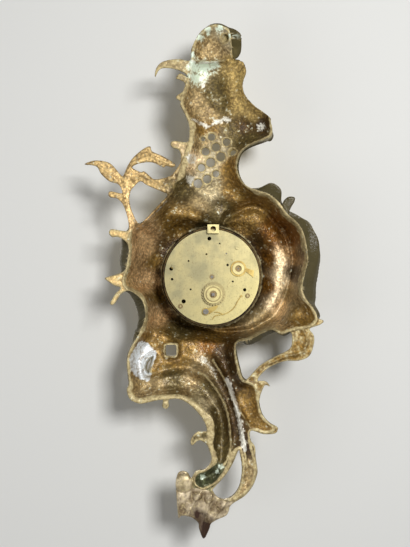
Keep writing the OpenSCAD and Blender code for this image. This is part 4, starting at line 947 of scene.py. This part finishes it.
def rolled_brass(name, finish, plain, dull):
    """Old rolled brass: grey-green tarnish in clouds, fine scratches, and painted light that makes it
    brighter low on the -X side.

    Brown rings of old oil, and rings of painted shadow round the raised boss and collar, lie round the
    places where arbors come through.
    """
    material, tree, place = new_material(name)
    noise = grains(tree, place, 3.0, {
        "cloud": (10, 0.36, 0.64), "stain": (2.6, 0.5, 0.72), "speck": (0.8, 0.6, 0.7)})
    colour = add(tree, "Mix", {0: noise["cloud"], 6: dull, 7: plain}, data_type="RGBA")
    # Painted light: the plate is mixed toward its bright colour low on the -X side
    across = add(tree, "VectorMath", {0: place, 1: (-0.7, 0, -0.7)}, "Value", operation="DOT_PRODUCT")
    middle = -0.7 * (DIAL_X + DIAL_Z)
    painted_light = add(tree, "MapRange", {
        "Value": across, "From Min": middle - 8 * MM, "From Max": middle + 34 * MM})
    colour = add(tree, "Mix", {0: painted_light, 6: colour, 7: finish.plate_painted_light}, data_type="RGBA")
    for label, share, shade in (("stain", 0.4, finish.plate_dull), ("speck", 0.6, finish.oil)):
        part = add(tree, "Math", {0: noise[label], 1: share}, operation="MULTIPLY")
        colour = add(tree, "Mix", {0: part, 6: colour, 7: shade}, data_type="RGBA")
    flat = add(tree, "VectorMath", {0: place, 1: (1, 0, 1)}, operation="MULTIPLY")
    for (x, z), (_, _, outer, inner, share) in zip(from_photo(OIL_AND_SHADOW_RINGS), OIL_AND_SHADOW_RINGS):
        away = add(tree, "VectorMath", {0: flat, 1: (x, 0, z)}, "Value", operation="DISTANCE")
        within = add(tree, "MapRange", {
            "Value": away, "From Min": outer * MM, "From Max": (outer - 0.4) * MM, "To Max": share})
        beyond = add(tree, "MapRange", {
            "Value": away, "From Min": (inner - 0.4) * MM, "From Max": inner * MM})
        cover = add(tree, "Math", {0: within, 1: beyond}, operation="MULTIPLY")
        colour = add(tree, "Mix", {0: cover, 6: colour, 7: finish.oil}, data_type="RGBA")
    bump = scratches(tree, place, 0.3, 0.08)
    rough = add(tree, "MapRange", {"Value": noise["cloud"], "To Min": 0.5, "To Max": 0.38})
    surface = add(tree, "BsdfPrincipled", {
        "Base Color": colour, "Metallic": 0.5, "Roughness": rough, "Normal": bump})
    add(tree, "OutputMaterial", {"Surface": surface})
    return material


def worked_metal(name, bright, dull, rough_low, rough_high, cloud_mm):
    """Turned or cut metal: tarnish in soft clouds, fine scratches, gloss that varies with the tarnish."""
    material, tree, place = new_material(name)
    cloud = grains(tree, place, 3.0, {"cloud": (cloud_mm, 0.38, 0.62)})["cloud"]
    colour = add(tree, "Mix", {0: cloud, 6: dull, 7: bright}, data_type="RGBA")
    rough = add(tree, "MapRange", {"Value": cloud, "To Min": rough_high, "To Max": rough_low})
    bump = scratches(tree, place, 0.25, 0.06)
    surface = add(tree, "BsdfPrincipled", {
        "Base Color": colour, "Metallic": 0.85, "Roughness": rough, "Normal": bump})
    add(tree, "OutputMaterial", {"Surface": surface})
    return material


def fired_enamel(name, colour, rough):
    """Glassy enamel fired on copper: an even colour with faint clouds, glossy."""
    material, tree, place = new_material(name)
    cloud = grains(tree, place, 3.0, {"cloud": (14, 0.3, 0.7)})["cloud"]
    shade = add(tree, "Mix", {0: 1.0, 6: colour, 7: linear("#F7F6F2")},
                data_type="RGBA", blend_type="MULTIPLY")
    mixed = add(tree, "Mix", {0: cloud, 6: shade, 7: colour}, data_type="RGBA")
    surface = add(tree, "BsdfPrincipled", {
        "Base Color": mixed, "Roughness": rough, "Coat Weight": 0.5, "Coat Roughness": 0.06})
    add(tree, "OutputMaterial", {"Surface": surface})
    return material


def blown_glass(name):
    """Thin domed watch glass: clear, with a slightly uneven polish."""
    material, tree, place = new_material(name)
    cloud = grains(tree, place, 2.0, {"cloud": (8, 0, 1)})["cloud"]
    faint = add(tree, "Math", {0: cloud, 1: 0.06}, operation="MULTIPLY")
    surface = add(tree, "BsdfPrincipled", {
        "Base Color": linear("#F6FAF8"), "Roughness": faint, "IOR": 1.5, "Transmission Weight": 1.0})
    add(tree, "OutputMaterial", {"Surface": surface})
    return material


def dial_marks():
    """Roman numerals and a minute track as thin bars on the dial.

    Each bar is a box from its inner to its outer end; the two circles are rows of such boxes end to end.
    """
    low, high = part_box("dial")
    radius = (high.x - low.x) / 2
    inner, outer = radius * np.array(NUMERAL_ENDS)
    track = radius * np.array(TRACK_ENDS)
    bars = []
    for hour, numeral in enumerate(NUMERALS):
        steps = [STROKES[letter][0] for letter in numeral]
        across = -sum(steps) / 2
        for letter, step in zip(numeral, steps):
            for foot, head, width in STROKES[letter][1]:
                middle = across + step / 2
                bars.append((hour * 30, inner, middle + foot, outer, middle + head, width))
            across += step
    for minute in range(60):
        bars.append((minute * 6, track[0], 0, track[1], 0, MINUTE_BAR if minute % 5 else HOUR_BAR))
    units = np.array([1, 1, MM, 1, MM, MM])
    angle, r0, across0, r1, across1, width = (np.array(bars, float) * units).T
    heading = np.radians(90 - angle)
    along = np.stack([np.cos(heading), np.sin(heading)], 1)
    side = np.stack([np.sin(heading), -np.cos(heading)], 1)
    start = along * r0[:, None] + side * across0[:, None]
    end = along * r1[:, None] + side * across1[:, None]
    turn = np.radians(np.arange(0, 360, 3))
    for r in track:
        circle = r * np.stack([np.cos(turn), np.sin(turn)], 1)
        start, end = np.vstack([start, circle]), np.vstack([end, np.roll(circle, -1, 0)])
        width = np.append(width, np.full(len(turn), TRACK_LINE * MM))
    run = (end - start) / np.linalg.norm(end - start, axis=1)[:, None]
    out = np.stack([-run[:, 1], run[:, 0]], 1) * width[:, None] / 2
    corners = np.stack([start - out, end - out, end + out, start + out], 1) + np.array([DIAL_X, DIAL_Z])
    levels = np.array([low.y + 0.02 * MM, low.y - 0.06 * MM])
    boxes = np.stack([np.insert(corners, 1, level, axis=2) for level in levels], 1).reshape(-1, 3)
    pattern = np.array([[3, 2, 1, 0], [4, 5, 6, 7], [0, 1, 5, 4], [1, 2, 6, 5], [2, 3, 7, 6], [3, 0, 4, 7]])
    faces = (pattern[None] + 8 * np.arange(len(corners))[:, None, None]).reshape(-1, 4)
    return mesh_object("dial_marks", boxes, faces[:, ::-1], {})


def dress(material, *nodes):
    """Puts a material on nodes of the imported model."""
    for node in nodes:
        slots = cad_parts[node].data.materials
        slots.clear()
        slots.append(material)


class CLOCK_OT_casting(bpy.types.Operator):
    """Builds the eight parts of the brass casting"""
    bl_idname = "clock.casting"
    bl_label = "Casting"

    def execute(self, context):
        size, finish = context.scene.clock_casting, context.scene.clock_finish
        f = casting_fields(size, finish)
        corners = [f.solid[a:a - 1 or None, b:b - 1 or None] for a in (0, 1) for b in (0, 1)]
        kept = np.maximum.reduce(corners) > KEPT_SHARE * f.pitch
        labels = casting_parts(f)
        lacquered = cast_brass("Lacquered cast brass", finish.rim, finish.rim_dull, finish,
                               shine=0.44, coat=0.2, grit=0.45, pits=0.45)
        dry = cast_brass("Dry cast brass", finish.rim, finish.rim_dull, finish,
                         shine=0.56, coat=0.06, grit=0.55, pits=0.5)
        gilded = cast_brass("Gilded cast brass", finish.gilt, finish.gilt_dull, finish,
                            shine=0.42, coat=0.15, grit=0.4, pits=0.75)
        bronze = weathered_bronze("Weathered bronze", finish)
        finishes = {
            "leaf_spray": gilded, "tail_leaf": bronze, "crest": dry, "neck_panel": dry, "side_branch": dry}
        for number, part in enumerate(PART_SLOTS):
            piece = shell(part + "_casting", f, kept & (labels == number))
            piece.data.materials.append(finishes.get(part, lacquered))
            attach(piece, "case")
            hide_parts(part)
        return {"FINISHED"}


class CLOCK_OT_movement(bpy.types.Operator):
    """Gives the movement, dial, hands and bezel their finishes"""
    bl_idname = "clock.movement"
    bl_label = "Movement and dial"

    def execute(self, context):
        c = context.scene.clock_finish
        # Both kinds of rolled brass carry painted light, brighter low on the -X side, and painted shadow
        # rings
        plate = rolled_brass("Rolled brass", c, c.plate, c.plate_dull)
        wheel = worked_metal("Cut brass", c.wheel, c.plate_dull, 0.26, 0.4, 4)
        turned = worked_metal("Turned lacquered brass", c.bezel, c.plate_dull, 0.2, 0.34, 12)
        steel = worked_metal("Polished steel", c.steel, linear("#6A6660"), 0.22, 0.4, 3)
        blue = worked_metal("Blued steel", c.blue, linear("#171C2B"), 0.2, 0.32, 5)
        gold = worked_metal("Worn brass", linear("#B7A160"), linear("#8A7440"), 0.3, 0.45, 4)
        sooty = worked_metal("Tarnished brass", linear("#4A3A1E"), linear("#221810"), 0.45, 0.6, 5)
        pale = rolled_brass("Rubbed brass", c, linear("#CFC186"), c.plate)
        dress(plate, "back_plate", "front_plate", "barrel_cap", "dial_plate", "ratchet_wheel",
              "pillar_screws")
        dress(sooty, "movement_drum")
        dress(pale, "balance_boss", "ratchet_collar", "fixing_block")
        dress(gold, "click_spring", "click", "regulator_index")
        dress(wheel, "pillars", "barrel", "centre_wheel", "third_wheel", "fourth_wheel", "escape_wheel",
              "balance_wheel", "minute_wheel", "hour_wheel", "pallet_lever")
        dress(turned, "bezel_seat", "bezel", "winding_ferrule", "hand_nut")
        dress(steel, "seat_screws", "hinge_pin", "barrel_arbor", "click_screw", "centre_arbor",
              "third_arbor", "fourth_arbor", "escape_arbor", "balance_staff", "cannon_pinion",
              "minute_post")
        dress(blue, "mainspring", "hairspring", "hour_hand", "minute_hand")
        dress(fired_enamel("Fired enamel", c.enamel, 0.12), "dial")
        marks = dial_marks()
        marks.data.materials.append(fired_enamel("Black enamel", c.ink, 0.2))
        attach(marks, "case")
        dress(blown_glass("Blown glass"), "glass")
        return {"FINISHED"}


class CLOCK_OT_stage(bpy.types.Operator):
    """Sets the floor, the lamps and the camera"""
    bl_idname = "clock.stage"
    bl_label = "Stage"

    def execute(self, context):
        stage = context.scene.clock_stage
        scene = context.scene
        level, half = cad_box[0].y - FLOOR_GAP, FLOOR_HALF
        mesh = bpy.data.meshes.new("floor")
        corners = [(-half, level, -half), (-half, level, half), (half, level, half), (half, level, -half)]
        mesh.from_pydata(corners, [], [(0, 1, 2, 3)])
        mesh.update()
        floor = bpy.data.objects.new("floor", mesh)
        scene.collection.objects.link(floor)
        # Matt paper: plain and pale, seen only from the side that the clock lies on
        material, tree, _ = new_material("Matt paper")
        paper = add(tree, "BsdfPrincipled", {"Base Color": stage.floor, "Roughness": 0.9})
        clear = add(tree, "BsdfTransparent")
        behind = add(tree, "NewGeometry", socket="Backfacing")
        shadow = add(tree, "LightPath", socket="Is Shadow Ray")
        skip = add(tree, "Math", {0: behind, 1: shadow}, operation="MAXIMUM")
        mixed = add(tree, "MixShader", {0: skip, 1: paper, 2: clear})
        add(tree, "OutputMaterial", {"Surface": mixed})
        mesh.materials.append(material)

        world = bpy.data.worlds.new("Studio")
        scene.world = world
        world.use_nodes = True
        tree = world.node_tree
        tree.nodes.clear()
        # Pale where it is seen, directly or in metal and glass, and dimmer as a light
        seen = 0.0
        for ray in ("Is Camera Ray", "Is Glossy Ray", "Is Transmission Ray"):
            path = add(tree, "LightPath", socket=ray)
            seen = add(tree, "Math", {0: path, 1: seen}, operation="MAXIMUM")
        strength = add(tree, "MapRange", {
            "Value": seen, "To Min": stage.sky, "To Max": stage.backdrop})
        sky = add(tree, "Background", {"Color": linear("#F2F2F0"), "Strength": strength})
        add(tree, "OutputWorld", {"Surface": sky})

        centre = (cad_box[0] + cad_box[1]) / 2
        # Square lamps: power in W, place from the clock's centre and width in m
        for name, power, spot, width in (
                ("key", stage.key, (-0.32, 0.95, 0.26), 0.25),
                ("side", stage.key * 0.2, (0.7, 0.7, -0.3), 0.6),
                ("front", stage.fill, (0.35, -0.9, 0.5), 0.6)):
            lamp = bpy.data.lights.new(name, "AREA")
            lamp.energy = power
            lamp.size = width
            holder = bpy.data.objects.new(name, lamp)
            scene.collection.objects.link(holder)
            holder.location = centre + type(centre)(spot)
            holder.rotation_euler = (centre - holder.location).to_track_quat("-Z", "Y").to_euler()

        camera = bpy.data.cameras.new("camera")
        camera.sensor_fit = "VERTICAL"
        camera.sensor_height = 36
        camera.lens = camera.sensor_height * stage.distance / stage.field
        camera.clip_start = 0.01
        holder = bpy.data.objects.new("camera", camera)
        scene.collection.objects.link(holder)
        middle = from_photo([(PICTURE[0] / 2, PICTURE[1] / 2)])[0]
        holder.location = (middle[0], stage.distance, middle[1])
        holder.rotation_euler = Euler((np.pi / 2, 0, np.pi))
        scene.camera = holder
        scene.view_settings.view_transform = "Standard"
        return {"FINISHED"}


class CLOCK_PT_panel(bpy.types.Panel):
    bl_idname = "CLOCK_PT_panel"
    bl_label = "Cartel clock"
    bl_space_type = "VIEW_3D"
    bl_region_type = "UI"
    bl_category = "Clock"

    def draw(self, context):
        for operator in OPERATORS:
            self.layout.operator(operator.bl_idname)
        for group in ("clock_casting", "clock_finish", "clock_stage"):
            settings = getattr(context.scene, group)
            for key in settings.__annotations__:
                self.layout.prop(settings, key)


GROUPS = {"clock_casting": ClockCasting, "clock_finish": ClockFinish, "clock_stage": ClockStage}
OPERATORS = (CLOCK_OT_casting, CLOCK_OT_movement, CLOCK_OT_stage)


def register():
    for made in (*GROUPS.values(), *OPERATORS, CLOCK_PT_panel):
        bpy.utils.register_class(made)
    for name, group in GROUPS.items():
        setattr(bpy.types.Scene, name, PointerProperty(type=group))


def unregister():
    for name in GROUPS:
        delattr(bpy.types.Scene, name)
    for made in (CLOCK_PT_panel, *reversed(OPERATORS), *GROUPS.values()):
        bpy.utils.unregister_class(made)


def main():
    register()
    bpy.ops.clock.casting()
    bpy.ops.clock.movement()
    bpy.ops.clock.stage()


if __name__ == "__main__":
    main()
